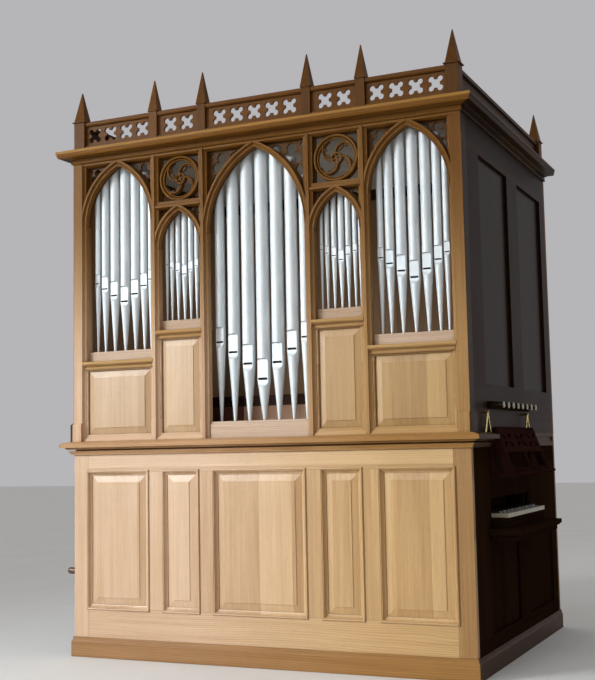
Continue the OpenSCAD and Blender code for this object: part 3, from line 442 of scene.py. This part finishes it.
def inside(f):
    """1 on faces inside the case."""
    return (abs(f.x) < INNER_X) * (f.y < INNER_Y) * (f.z < INNER_Z)


def side_return(f):
    """1 on the lengths of a moulding that run along the sides, past its mitre."""
    return (abs(f.x) + f.y) > (HALF_W + FRONT_Y)


# Kinds of wax, and masks with the share of red, green and blue that is left under them. Those with
# PAINTED or SHADED in their names paint light or shade on the wood, in part at least.
DARK_WAX = dict(gloss=0.34, coat=0.0, sheen=0.028, deep=0.33)
DULL_WAX = dict(gloss=0.42, coat=0.0, sheen=0.0, deep=0.33)
PANEL_WAX = dict(gloss=0.42, coat=0.33, sheen=0.0, deep=0.33)
SOFT_WAX = dict(coat=0.02, sheen=0.06)
# Painted shade: the upper case darker towards its top, as if less light reached it.
PAINTED_SHADE_TO_TOP = (towards_top, (0.41, 0.285, 0.10))
SHADED = (behind_ribs, (0.44, 0.40, 0.34))
# Painted light: paler and bluer towards the window lamp's end, as its cool light and sheen would make it.
PAINTED_WINDOW_LIGHT = (towards_window, (1.08, 1.16, 1.70))
# Painted light: paler low on the upper case at the window lamp's end.
PAINTED_WINDOW_LIGHT_LOW = (low_by_window, (1.30, 1.45, 2.30))
# Darkens the parapet all over.
DARKER_ALL_OVER = (all_over, (0.74, 0.70, 0.72))
# Painted shade on the side parapets, as dark as the shaded sides of the case.
PAINTED_SHADE_PARAPET_SIDE = (all_over, (0.25, 0.22, 0.24))
# Painted shade on the returns of the impost and plinth along the sides.
PAINTED_SHADE_RETURN = (side_return, (0.16, 0.14, 0.14))
# Painted shade on the cornice's returns along the sides.
PAINTED_SHADE_CORNICE_RETURN = (side_return, (0.12, 0.10, 0.12))
# The corner stile beside the console: partly a darker board of its own, partly painted shade on the console
# side.
STILE_TONE_AND_PAINTED_SHADE = (outer_stile, (0.72, 0.64, 0.52))
# Painted shade on the outer faces of the corner posts.
PAINTED_SHADE_POST_SIDES = (case_sides, (0.10, 0.09, 0.10))
PALE_TOES = (toe_boards, (1.22, 1.50, 2.70))
# Painted shade in the hollow of the cornice, under its nosing.
PAINTED_SHADE_CORNICE_COVE = (cornice_hollow, (0.55, 0.47, 0.40))
# Painted shade on the wind chest left of the middle.
PAINTED_SHADE_CHEST_LEFT = (chest_left_part, (0.20, 0.11, 0.10))
# Painted shade, nearly black, along the top of the wind chest.
PAINTED_SHADE_CHEST_TOP = (chest_top_band, (0.10, 0.08, 0.08))

finishes = {
    "front_frame": oak("oak_front_frame", turned=front_rails, joints=front_joints,
                       aged=[STILE_TONE_AND_PAINTED_SHADE, PAINTED_WINDOW_LIGHT], **HONEY),
    "lower_panel": oak("oak_lower_panel", board=0.21, aged=[PAINTED_WINDOW_LIGHT], **HONEY),
    "upper_panel": oak("oak_upper_panel", board=0.21, aged=[PAINTED_WINDOW_LIGHT], **GOLDER_WITH_PAINTED_SHADE),
    "post": oak("oak_post", board=0.30, aged=[PAINTED_SHADE_TO_TOP, PAINTED_WINDOW_LIGHT_LOW, PAINTED_SHADE_POST_SIDES], **SOFT_WAX, **GOLDEN),
    "arch": oak("oak_arch", board=0.30, aged=[PAINTED_SHADE_TO_TOP, SHADED], **SOFT_WAX, **GOLDEN),
    "rail": oak("oak_rail", grain="x", aged=[PAINTED_SHADE_TO_TOP, PAINTED_WINDOW_LIGHT_LOW], **SOFT_WAX, **GOLDEN),
    "sill": oak("oak_sill", grain="x", aged=[PAINTED_SHADE_TO_TOP, PALE_TOES], **SOFT_WAX, **GOLDEN),
    "impost": oak("oak_impost", grain="x", turned=side_return, turned_grain="y",
                  aged=[PAINTED_SHADE_RETURN, PAINTED_WINDOW_LIGHT_LOW], **SOFT_WAX, **AMBER),
    "cornice": oak("oak_cornice", grain="x", turned=side_return, turned_grain="y",
                   aged=[PAINTED_SHADE_CORNICE_COVE, PAINTED_SHADE_CORNICE_RETURN], **SOFT_WAX, **TOFFEE),
    "parapet": oak("oak_parapet", grain="x", aged=[DARKER_ALL_OVER], **SOFT_WAX, **TAWNY),
    "parapet_post": oak("oak_parapet_post", aged=[DARKER_ALL_OVER], **SOFT_WAX, **TAWNY),
    "parapet_side": oak("oak_parapet_side", grain="y", aged=[PAINTED_SHADE_PARAPET_SIDE], **SOFT_WAX, **TAWNY),
    "upper_side": oak("oak_upper_side", turned=upper_side_rails, turned_grain="y", inside_wood_and_light=BARE_WOOD_AND_PAINTED_LIGHT,
                      **DARK_WAX, **PAINTED_SHADE_OAK),
    "lower_side": oak("oak_lower_side", turned=lower_side_rails, turned_grain="y", inside_wood_and_light=BARE_WOOD_AND_PAINTED_LIGHT,
                      **DULL_WAX, **PAINTED_SHADE_OAK),
    "side_panel": oak("oak_side_panel", board=0.17, inside_wood_and_light=BARE_WOOD_AND_PAINTED_LIGHT, waxed=above_shelf, **PANEL_WAX, **PAINTED_SHADE_OAK),
    "bracket": oak("oak_bracket", board=0.17, **DARK_WAX, **PAINTED_SHADE_OAK),
    "back": oak("oak_back", board=0.17, gloss=0.5, coat=0.0, sheen=0.15, inside_wood_and_light=BARE_WOOD_AND_PAINTED_LIGHT, **TAWNY),
    "dark_along": oak("oak_dark_along", grain="x", board=0.14, inside_wood_and_light=PAINTED_LIGHT_ROOF_INSIDE, **DARK_WAX, **PAINTED_SHADE_OAK),
    "dark_deep": oak("oak_dark_deep", grain="y", board=0.14, **DULL_WAX, **PAINTED_SHADE_OAK),
    "music_desk": oak("oak_music_desk", grain="y", board=0.14, **DULL_WAX, **REDDISH),
    "plinth": oak("oak_plinth", grain="x", turned=side_return, turned_grain="y",
                  aged=[PAINTED_SHADE_RETURN, PAINTED_WINDOW_LIGHT], **SOFT_WAX, **AMBER),
    "chest": oak("pine_wind_chest", board=0.11, gloss=0.6, coat=0.0, sheen=0.1,
                 aged=[PAINTED_SHADE_CHEST_LEFT, PAINTED_SHADE_CHEST_TOP], **PINKISH),
    "handle": oak("oak_handle", grain="x", board=0.5, gloss=0.32, coat=0.3, **BROWN),
}


def pipe_metal():
    """Tin and lead pipe sheet: nearly white metal with soft cloudy spots and fine planing marks."""
    f = Finish("pipe_metal")
    cloud = f.cloud(16.0, 16.0, 5.0, detail=4.0, roughness=0.62)
    marks = f.cloud(300.0, 300.0, 3.0, detail=2.0)
    # Painted shade at the ledges and hollows round the lips and mouth.
    painted_ledge_shade = f.hollow(reach=0.016)
    colour = f.ramp(cloud * 0.8 + marks * 0.2, [(0.3, tone(198, 203, 205)), (0.7, tone(222, 226, 227))])
    colour = f.mix((painted_ledge_shade * 1.2).clamp(), colour, tone(78, 78, 76))
    return f.set(Base_Color=colour, Metallic=0.3, Roughness=cloud * 0.12 + marks * 0.08 + 0.46,
                 Normal=f.bump(marks, distance=0.0002, strength=0.2))


def pipe_throat_painted_shade():
    """Painted shade for the inside of a pipe, seen through its mouth and its open top: the same metal,
    darkened.
    """
    f = Finish("pipe_throat_painted_shade")
    cloud = f.cloud(40.0, 40.0, 40.0)
    return f.set(Base_Color=f.mix(cloud, tone(28, 26, 25), tone(52, 49, 47)), Metallic=0.3,
                 Roughness=cloud * 0.2 + 0.6, Normal=f.bump(cloud, distance=0.0005, strength=0.4))


def polished_brass():
    """Bright brass with soft tarnish."""
    f = Finish("polished_brass")
    tarnish = f.cloud(60.0, 60.0, 60.0, detail=4.0)
    colour = f.mix(tarnish.smooth(0.45, 0.75), tone(236, 214, 150), tone(170, 134, 74))
    return f.set(Base_Color=colour, Metallic=1.0, Roughness=tarnish * 0.25 + 0.14,
                 Normal=f.bump(tarnish, distance=0.0003, strength=0.3))


def ivory_colour(f):
    """Ivory with long faint lines, and the lines themselves."""
    lines = f.cloud(25.0, 420.0, 420.0, detail=2.0)
    warm = f.cloud(18.0, 18.0, 18.0, detail=2.0)
    return f.mix(warm * 0.6 + lines * 0.3, tone(196, 188, 164), tone(166, 152, 122)), lines


def ivory():
    """Ivory plates of the natural keys, with painted shade in the gaps."""
    f = Finish("ivory")
    colour, lines = ivory_colour(f)
    # Painted shade in the gaps between the keys.
    colour = f.mix(f.hollow(reach=0.01) * 0.5, colour, tone(120, 100, 72))
    normal = f.bump(lines, distance=0.0001, strength=0.3, normal=f.eased(radius=0.0015))
    return f.set(Base_Color=colour, Roughness=lines * 0.15 + 0.22, Normal=normal, Coat_Weight=0.3)


# How far a knob's face stands out from the side of the case at rest, and the thickness of its ivory.
KNOB_REACH = 0.080
KNOB_IVORY = 0.0052


def knob_finish():
    """Turned ebony knob with an ivory face."""
    f = Finish("knob_ebony_and_ivory")
    face = f.x > (HALF_W + KNOB_REACH - KNOB_IVORY)
    white, lines = ivory_colour(f)
    black = f.mix(lines, tone(22, 18, 16), tone(48, 38, 32))
    return f.set(Base_Color=f.mix(face, black, white), Roughness=lines * 0.2 + 0.2,
                 Normal=f.bump(lines, distance=0.0001, strength=0.3), Coat_Weight=0.3)


def ebony():
    """Ebony of the sharp keys, with faint lines along them."""
    f = Finish("ebony")
    lines = f.cloud(20.0, 500.0, 500.0)
    colour = f.mix(lines, tone(20, 17, 15), tone(46, 38, 32))
    normal = f.bump(lines, distance=0.0002, strength=0.4, normal=f.eased(radius=0.0015))
    return f.set(Base_Color=colour, Roughness=lines * 0.2 + 0.2, Normal=normal, Coat_Weight=0.4)


finishes.update(pipe=pipe_metal(), throat=pipe_throat_painted_shade(), brass=polished_brass(), ivory=ivory(),
                knob=knob_finish(), ebony=ebony())

# The CAD pieces that wear each finish.
WEARS = {
    "front_frame": ["lower_front_frame"],
    "lower_panel": ["lower_front_panels"],
    "upper_panel": ["upper_front_panels"],
    "post": ["corner_posts", "mullions"],
    "arch": ["outer_arches", "narrow_arches", "centre_arch", "wheel_panels"],
    "rail": ["front_rails"],
    "sill": ["sills"],
    "impost": ["impost"],
    "cornice": ["cornice"],
    "parapet": ["parapet_rails", "parapet_tracery"],
    "parapet_post": ["parapet_posts", "pinnacles"],
    "parapet_side": ["side_parapets"],
    "upper_side": ["upper_side_frames"],
    "lower_side": ["lower_side_frames"],
    "side_panel": ["side_panels"],
    "bracket": ["handle_bracket"],
    "back": ["back_frame", "back_panels"],
    "dark_along": ["roof"],
    "dark_deep": ["key_desk", "stop_jamb"],
    "music_desk": ["music_desk"],
    "plinth": ["plinth"],
    "chest": ["wind_chest"],
    "handle": ["blowing_handle"],
    "pipe": ["outer_pipes", "narrow_pipes", "centre_pipes"],
    "brass": ["desk_stays"],
    "ivory": ["natural_keys"],
    "knob": [f"stop_knob_{k}" for k in range(1, 9)],
    "ebony": ["sharp_keys"],
}
for finish_name, nodes in WEARS.items():
    for node_name in nodes:
        slots = NODES[node_name].data.materials
        slots.clear()
        slots.append(finishes[finish_name])


# Display pipes. Sizes in metres.
PIPE_FRONT = FRONT_Y + 0.071
PIPE_LIFT = 0.0003
GREATEST_TOP = 3.080
TOP_COVER = 0.032
TOE_LEAST = 0.003
SHEET = 0.0012
TOP_DEPTH = 0.10
RIB_W = 0.034
# The rise of an arch is a share of its half width.
ARCH_RISE = 1.48
# Shares of a pipe's radius: how far the flats lie before its axis, its toe, and the back of its mouth.
LIP_DEPTH = 0.52
TOE_SHARE = 0.16
THROAT_DEPTH = 0.15
# Shares of its diameter, counted from its mouth: the centres of the flats' upper corners, the radius of
# these corners, the centre of the flats' lower round, the top of the cone and the height of the slot.
LIP_RISE = 1.42
LIP_CORNER = 0.2
LIP_DROP = 0.07
CONE_DROP = 0.1
SLOT_RISE = 0.18
# The slot's width is a share of the flats' width.
SLOT_SHARE = 0.9
# Steps around a pipe, across its front over the lips, and along the round ends of its flats.
ROUND = 56
FRONT_STEPS = 14
ARC_STEPS = 10
# Edges that turn by more than this, in degrees, stay sharp.
SHARP_ANGLE = 28


def hidden_top(clear, top, x, r):
    """Height where a pipe ends, out of sight behind the arch of its bay."""
    half = clear / 2 + RIB_W
    arch_r = half * (1 + ARCH_RISE ** 2) / 2
    run = max(0.0, x - r) + arch_r - half
    arch_z = top - half * ARCH_RISE + math.sqrt((arch_r - RIB_W) ** 2 - run ** 2)
    return min(GREATEST_TOP, arch_z + TOP_COVER)


class Pipe:
    """The measures of one pipe. Heights, called h, are counted from its foot."""

    def __init__(self, x, toe_z, diameter, mouth, top):
        self.x = x
        self.top = top
        self.mouth = mouth
        self.r = diameter / 2
        self.axis_y = PIPE_FRONT + self.r
        self.foot = toe_z + PIPE_LIFT
        self.flat = LIP_DEPTH * self.r
        self.half = math.sqrt(self.r * self.r - self.flat * self.flat)
        self.corner = LIP_CORNER * diameter
        self.low_centre = mouth - LIP_DROP * diameter
        self.high_centre = mouth + LIP_RISE * diameter
        self.slot_top = mouth + SLOT_RISE * diameter
        self.cone_top = mouth - CONE_DROP * diameter
        self.toe_r = TOE_SHARE * self.r + TOE_LEAST

    def body_r(self, h):
        """Radius of the cone, and of the body over it."""
        return self.toe_r + (self.r - self.toe_r) * h / self.cone_top if h < self.cone_top else self.r

    def lip_half(self, h):
        """Half width of the pressed flats."""
        if h < self.low_centre:
            return math.sqrt(max(0.0, self.half * self.half - (self.low_centre - h) ** 2))
        if h > self.high_centre:
            bend = math.sqrt(max(0.0, self.corner * self.corner - (h - self.high_centre) ** 2))
            return self.half - self.corner + bend
        return self.half

    def lip_depth(self, h):
        """Distance of a flat in front of the axis. Under the mouth it follows the cone."""
        return self.flat if h >= self.mouth else math.sqrt(self.body_r(h) ** 2 - self.lip_half(h) ** 2)

    def lip_angle(self, h):
        """Angle from the front to the edge of the flats."""
        return math.asin(min(1.0, self.lip_half(h) / self.body_r(h)))

    def angles(self, h):
        """Angles of a row of points from one edge of the flats around the back to the other."""
        start = self.lip_angle(h)
        return [start + (2 * math.pi - 2 * start) * k / ROUND for k in range(ROUND + 1)]

    def heights(self):
        """Heights of the rows of points, from the foot to the top of the upper lip."""
        arc = [math.sin(math.pi / 2 * k / ARC_STEPS) for k in range(ARC_STEPS + 1)]
        heights = [0.0, 0.5 * (self.low_centre - self.half)]
        heights += [self.low_centre - self.half * math.cos(math.asin(a)) for a in arc][:-1]
        heights += sorted([self.low_centre, self.cone_top, self.mouth, self.slot_top, self.high_centre])
        heights += [self.high_centre + self.corner * a for a in arc][1:]
        return heights


class PipeRow:
    """Collects the faces of the pipes that stand for one CAD node."""

    def __init__(self):
        self.points = []
        self.faces = []
        self.dark = []

    def point(self, x, y, z):
        self.points.append((x, y, z))
        return len(self.points) - 1

    def face(self, corners, dark=False):
        self.faces.append(corners)
        self.dark.append(dark)

    def strip(self, first, second, dark=False):
        """Quads between two lines of points of the same length."""
        for k in range(len(first) - 1):
            self.face((first[k], first[k + 1], second[k + 1], second[k]), dark)

    def ring(self, pipe, radius, z, angles):
        return [self.point(pipe.x + radius * math.sin(a), pipe.axis_y - radius * math.cos(a), z)
                for a in angles]

    def add(self, pipe):
        """One pipe: its foot, lips and mouth, then the plain body up to the open top."""
        heights = pipe.heights()
        rows = [self.ring(pipe, pipe.body_r(h), pipe.foot + h, pipe.angles(h)) for h in heights]
        for h0, h1, row0, row1 in zip(heights, heights[1:], rows, rows[1:]):
            self.strip(row0, row1)
            if pipe.lip_half(h0) > 0.0 or pipe.lip_half(h1) > 0.0:
                flats = self.lips(pipe, h0, h1, row0, row1)
        # The ledge over the upper lip, then the body.
        start = pipe.lip_angle(heights[-1])
        front = [-start + 2 * start * k / FRONT_STEPS for k in range(1, FRONT_STEPS + 1)]
        last = rows[-1] + self.ring(pipe, pipe.r, pipe.foot + heights[-1], front)
        self.face((*last[ROUND:], *flats[1]))
        angles = pipe.angles(heights[-1]) + front
        rim = self.ring(pipe, pipe.r, pipe.top, angles)
        self.strip(last, rim)
        self.cap(pipe, rim, angles)
        self.face(tuple(reversed(rows[0][:-1])))

    def lips(self, pipe, h0, h1, row0, row1):
        """The flats between two heights: a ledge on both sides, then the flat itself or the slot."""
        flats = [[self.point(pipe.x + s * pipe.lip_half(h), pipe.axis_y - pipe.lip_depth(h), pipe.foot + h)
                  for s in (1, -1)] for h in (h0, h1)]
        self.face((row1[0], row0[0], flats[0][0], flats[1][0]))
        self.face((row0[-1], row1[-1], flats[1][1], flats[0][1]))
        if h0 != pipe.mouth:
            self.face((flats[0][1], flats[0][0], flats[1][0], flats[1][1]))
        else:
            self.slot(pipe, flats)
        return flats

    def slot(self, pipe, flats):
        """The slot between the lips, with a recess behind it whose faces carry painted shade."""
        inner = SLOT_SHARE * pipe.half
        low = pipe.foot + pipe.mouth
        high = pipe.foot + pipe.slot_top
        places = ((1, low), (-1, low), (-1, high), (1, high))
        front = [self.point(pipe.x + s * inner, pipe.axis_y - pipe.flat, z) for s, z in places]
        back = [self.point(pipe.x + s * inner, pipe.axis_y - THROAT_DEPTH * pipe.r, z) for s, z in places]
        self.face((flats[0][0], flats[1][0], front[3], front[0]))
        self.face((flats[0][1], front[1], front[2], flats[1][1]))
        for k in range(4):
            n = (k + 1) % 4
            self.face((front[k], front[n], back[n], back[k]), dark=True)
        self.face(tuple(back), dark=True)

    def cap(self, pipe, rim, angles):
        """The open top: the edge of the sheet, its inner face and a bottom a little way down, both with
        painted shade.
        """
        inner = self.ring(pipe, pipe.r - SHEET, pipe.top, angles)
        bottom = self.ring(pipe, pipe.r - SHEET, pipe.top - TOP_DEPTH, angles)
        self.strip(rim, inner)
        self.strip(inner, bottom, dark=True)
        self.face(tuple(bottom[:-1]), dark=True)

    def build(self, name, node_name):
        mesh = bpy.data.meshes.new(name)
        mesh.from_pydata(self.points, [], self.faces)
        mesh.materials.append(finishes["pipe"])
        mesh.materials.append(finishes["throat"])
        # Faces marked dark get the throat finish, which is painted shade.
        for polygon, dark in zip(mesh.polygons, self.dark):
            polygon.material_index = int(dark)
        pipes = bpy.data.objects.new(name, mesh)
        bpy.context.scene.collection.objects.link(pipes)
        weld(mesh)
        mesh.shade_smooth()
        mesh.set_sharp_from_angle(angle=math.radians(SHARP_ANGLE))
        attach(pipes, "case")
        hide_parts(node_name)


def weld(mesh):
    """Joins points that share a place, drops faces with no area and turns all faces outwards."""
    bm = bmesh.new()
    bm.from_mesh(mesh)
    bmesh.ops.remove_doubles(bm, verts=bm.verts, dist=0.000002)
    bmesh.ops.dissolve_degenerate(bm, edges=bm.edges, dist=0.000001)
    bmesh.ops.recalc_face_normals(bm, faces=bm.faces)
    bm.to_mesh(mesh)
    bm.free()


def add_pipes(name, node_name, bay_places, toe_z, clear, arch_top, diameters, places, mouths):
    """One row of seven pipes in each bay, mirrored about its middle pipe."""
    row = PipeRow()
    for bay_x in bay_places:
        for k in range(-3, 4):
            side = (k > 0) - (k < 0)
            n = abs(k)
            top = hidden_top(clear, arch_top, places[n], diameters[n] / 2)
            row.add(Pipe(bay_x + side * places[n], toe_z, diameters[n], mouths[n], top))
    row.build(name, node_name)


OUTER_BAY = 0.973
NARROW_BAY = 0.5285
add_pipes("outer_bay_pipes", "outer_pipes", (-OUTER_BAY, OUTER_BAY), toe_z=1.890, clear=0.484,
          arch_top=3.108, diameters=(0.063, 0.060, 0.052, 0.039), places=(0.0, 0.077, 0.146, 0.199),
          mouths=(0.311, 0.354, 0.402, 0.440))
add_pipes("narrow_bay_pipes", "narrow_pipes", (-NARROW_BAY, NARROW_BAY), toe_z=2.058, clear=0.289,
          arch_top=2.773, diameters=(0.037, 0.033, 0.028, 0.021), places=(0.0, 0.045, 0.088, 0.122),
          mouths=(0.284, 0.311, 0.330, 0.353))
add_pipes("centre_bay_pipes", "centre_pipes", (0.0,), toe_z=1.425, clear=0.652, arch_top=3.108,
          diameters=(0.080, 0.077, 0.073, 0.060), places=(0.0, 0.099, 0.197, 0.286),
          mouths=(0.240, 0.336, 0.410, 0.477))


# The photograph's viewpoint: the camera's place in metres, its azimuth, elevation and roll in degrees,
# its lens and sensor in millimetres, and how far the picture is shifted.
CAMERA_PLACE = (3.1106, -7.0674, 1.2530)
CAMERA_ANGLES = (24.281, 5.603, -1.183)
LENS = 61.25
SENSOR = 36.0
CAMERA_SHIFT = (-0.0224, -0.0075)


def add_camera():
    """Camera at the photograph's viewpoint."""
    azimuth, elevation, roll = (math.radians(v) for v in CAMERA_ANGLES)
    forward = Vector((-math.sin(azimuth) * math.cos(elevation), math.cos(azimuth) * math.cos(elevation),
                      math.sin(elevation)))
    right = Vector((math.cos(azimuth), math.sin(azimuth), 0.0))
    up = right.cross(forward)
    c, s = math.cos(roll), math.sin(roll)
    right, up = c * right + s * up, c * up - s * right
    data = bpy.data.cameras.new("camera")
    data.lens = LENS
    data.sensor_width = SENSOR
    data.shift_x, data.shift_y = CAMERA_SHIFT
    camera = bpy.data.objects.new("camera", data)
    bpy.context.scene.collection.objects.link(camera)
    turn = Matrix((right, up, -forward)).transposed().to_4x4()
    camera.matrix_world = Matrix.Translation(CAMERA_PLACE) @ turn
    bpy.context.scene.camera = camera


def area_light(name, place, target, size, power, colour=(1.0, 1.0, 1.0), spread=180.0, reflected=True):
    """A square lamp that the camera doesn't see, and that reflections may leave out."""
    data = bpy.data.lights.new(name, "AREA")
    data.energy = power
    data.size = size
    data.color = colour
    data.spread = math.radians(spread)
    light = bpy.data.objects.new(name, data)
    light.location = place
    light.rotation_mode = "QUATERNION"
    light.rotation_quaternion = (Vector(target) - Vector(place)).to_track_quat("-Z", "Y")
    light.visible_camera = False
    light.visible_glossy = reflected
    bpy.context.scene.collection.objects.link(light)


def add_floor():
    """Plain pale floor that keeps the object's shadow."""
    half = 30.0
    corners = [(-half, -half, 0), (half, -half, 0), (half, half, 0), (-half, half, 0)]
    mesh = bpy.data.meshes.new("floor")
    mesh.from_pydata(corners, [], [(0, 1, 2, 3)])
    floor = bpy.data.objects.new("floor", mesh)
    bpy.context.scene.collection.objects.link(floor)
    f = Finish("pale_floor")
    colour = f.mix(f.cloud(2.0, 2.0, 0.0, detail=5.0), tone(212, 209, 206), tone(222, 220, 217))
    mesh.materials.append(f.set(Base_Color=colour, Roughness=0.85))


def add_world():
    """Soft light, brightest from above and brighter from the left than from the right, with a plain
    pale background."""
    left_light = 0.42
    right_light = 0.13
    top_light = 0.40
    world = bpy.data.worlds.new("soft_light")
    bpy.context.scene.world = world
    w = Finish("soft_light", world)
    place = w.node("ShaderNodeTexCoord", output="Generated")
    across = w.coordinate(place, "X")
    height = w.coordinate(place, "Z")
    level = w.node("ShaderNodeMapRange", inputs=[across, -0.6, 0.7, left_light, right_light])
    level = level + height.smooth(0.3, 0.9) * top_light
    light = w.node("ShaderNodeBackground", inputs=[(1.0, 1.0, 1.0, 1.0), level])
    plain = w.node("ShaderNodeBackground", inputs=[(*tone(182, 181, 184), 1.0), 1.0])
    rays = ("Is Camera Ray", "Is Glossy Ray", "Is Transmission Ray")
    camera_ray, glossy_ray, transmission_ray = (w.node("ShaderNodeLightPath", output=ray) for ray in rays)
    seen = camera_ray.most(glossy_ray).most(transmission_ray)
    both = w.node("ShaderNodeMixShader", inputs=[seen, light, plain])
    w.node("ShaderNodeOutputWorld", inputs=[both], output=None)


add_camera()
add_floor()
add_world()
area_light("window_light", (-6.3, -7.8, 4.2), (-0.3, -1.0, 1.1), size=3.9, power=78.0,
           colour=(0.86, 0.95, 1.0), spread=44.0)
area_light("front_fill", (-0.3, -6.4, 4.9), (0.0, -1.0, 1.2), size=3.2, power=42.0, spread=120.0)
area_light("side_fill", (5.5, 0.5, 2.6), (1.3, 0.0, 1.6), size=3.0, power=9.0)
area_light("inside_light", (0.0, 0.1, 1.5), (0.0, 0.1, 3.1), size=1.4, power=9.0, reflected=False)
bpy.context.scene.view_settings.view_transform = "Standard"
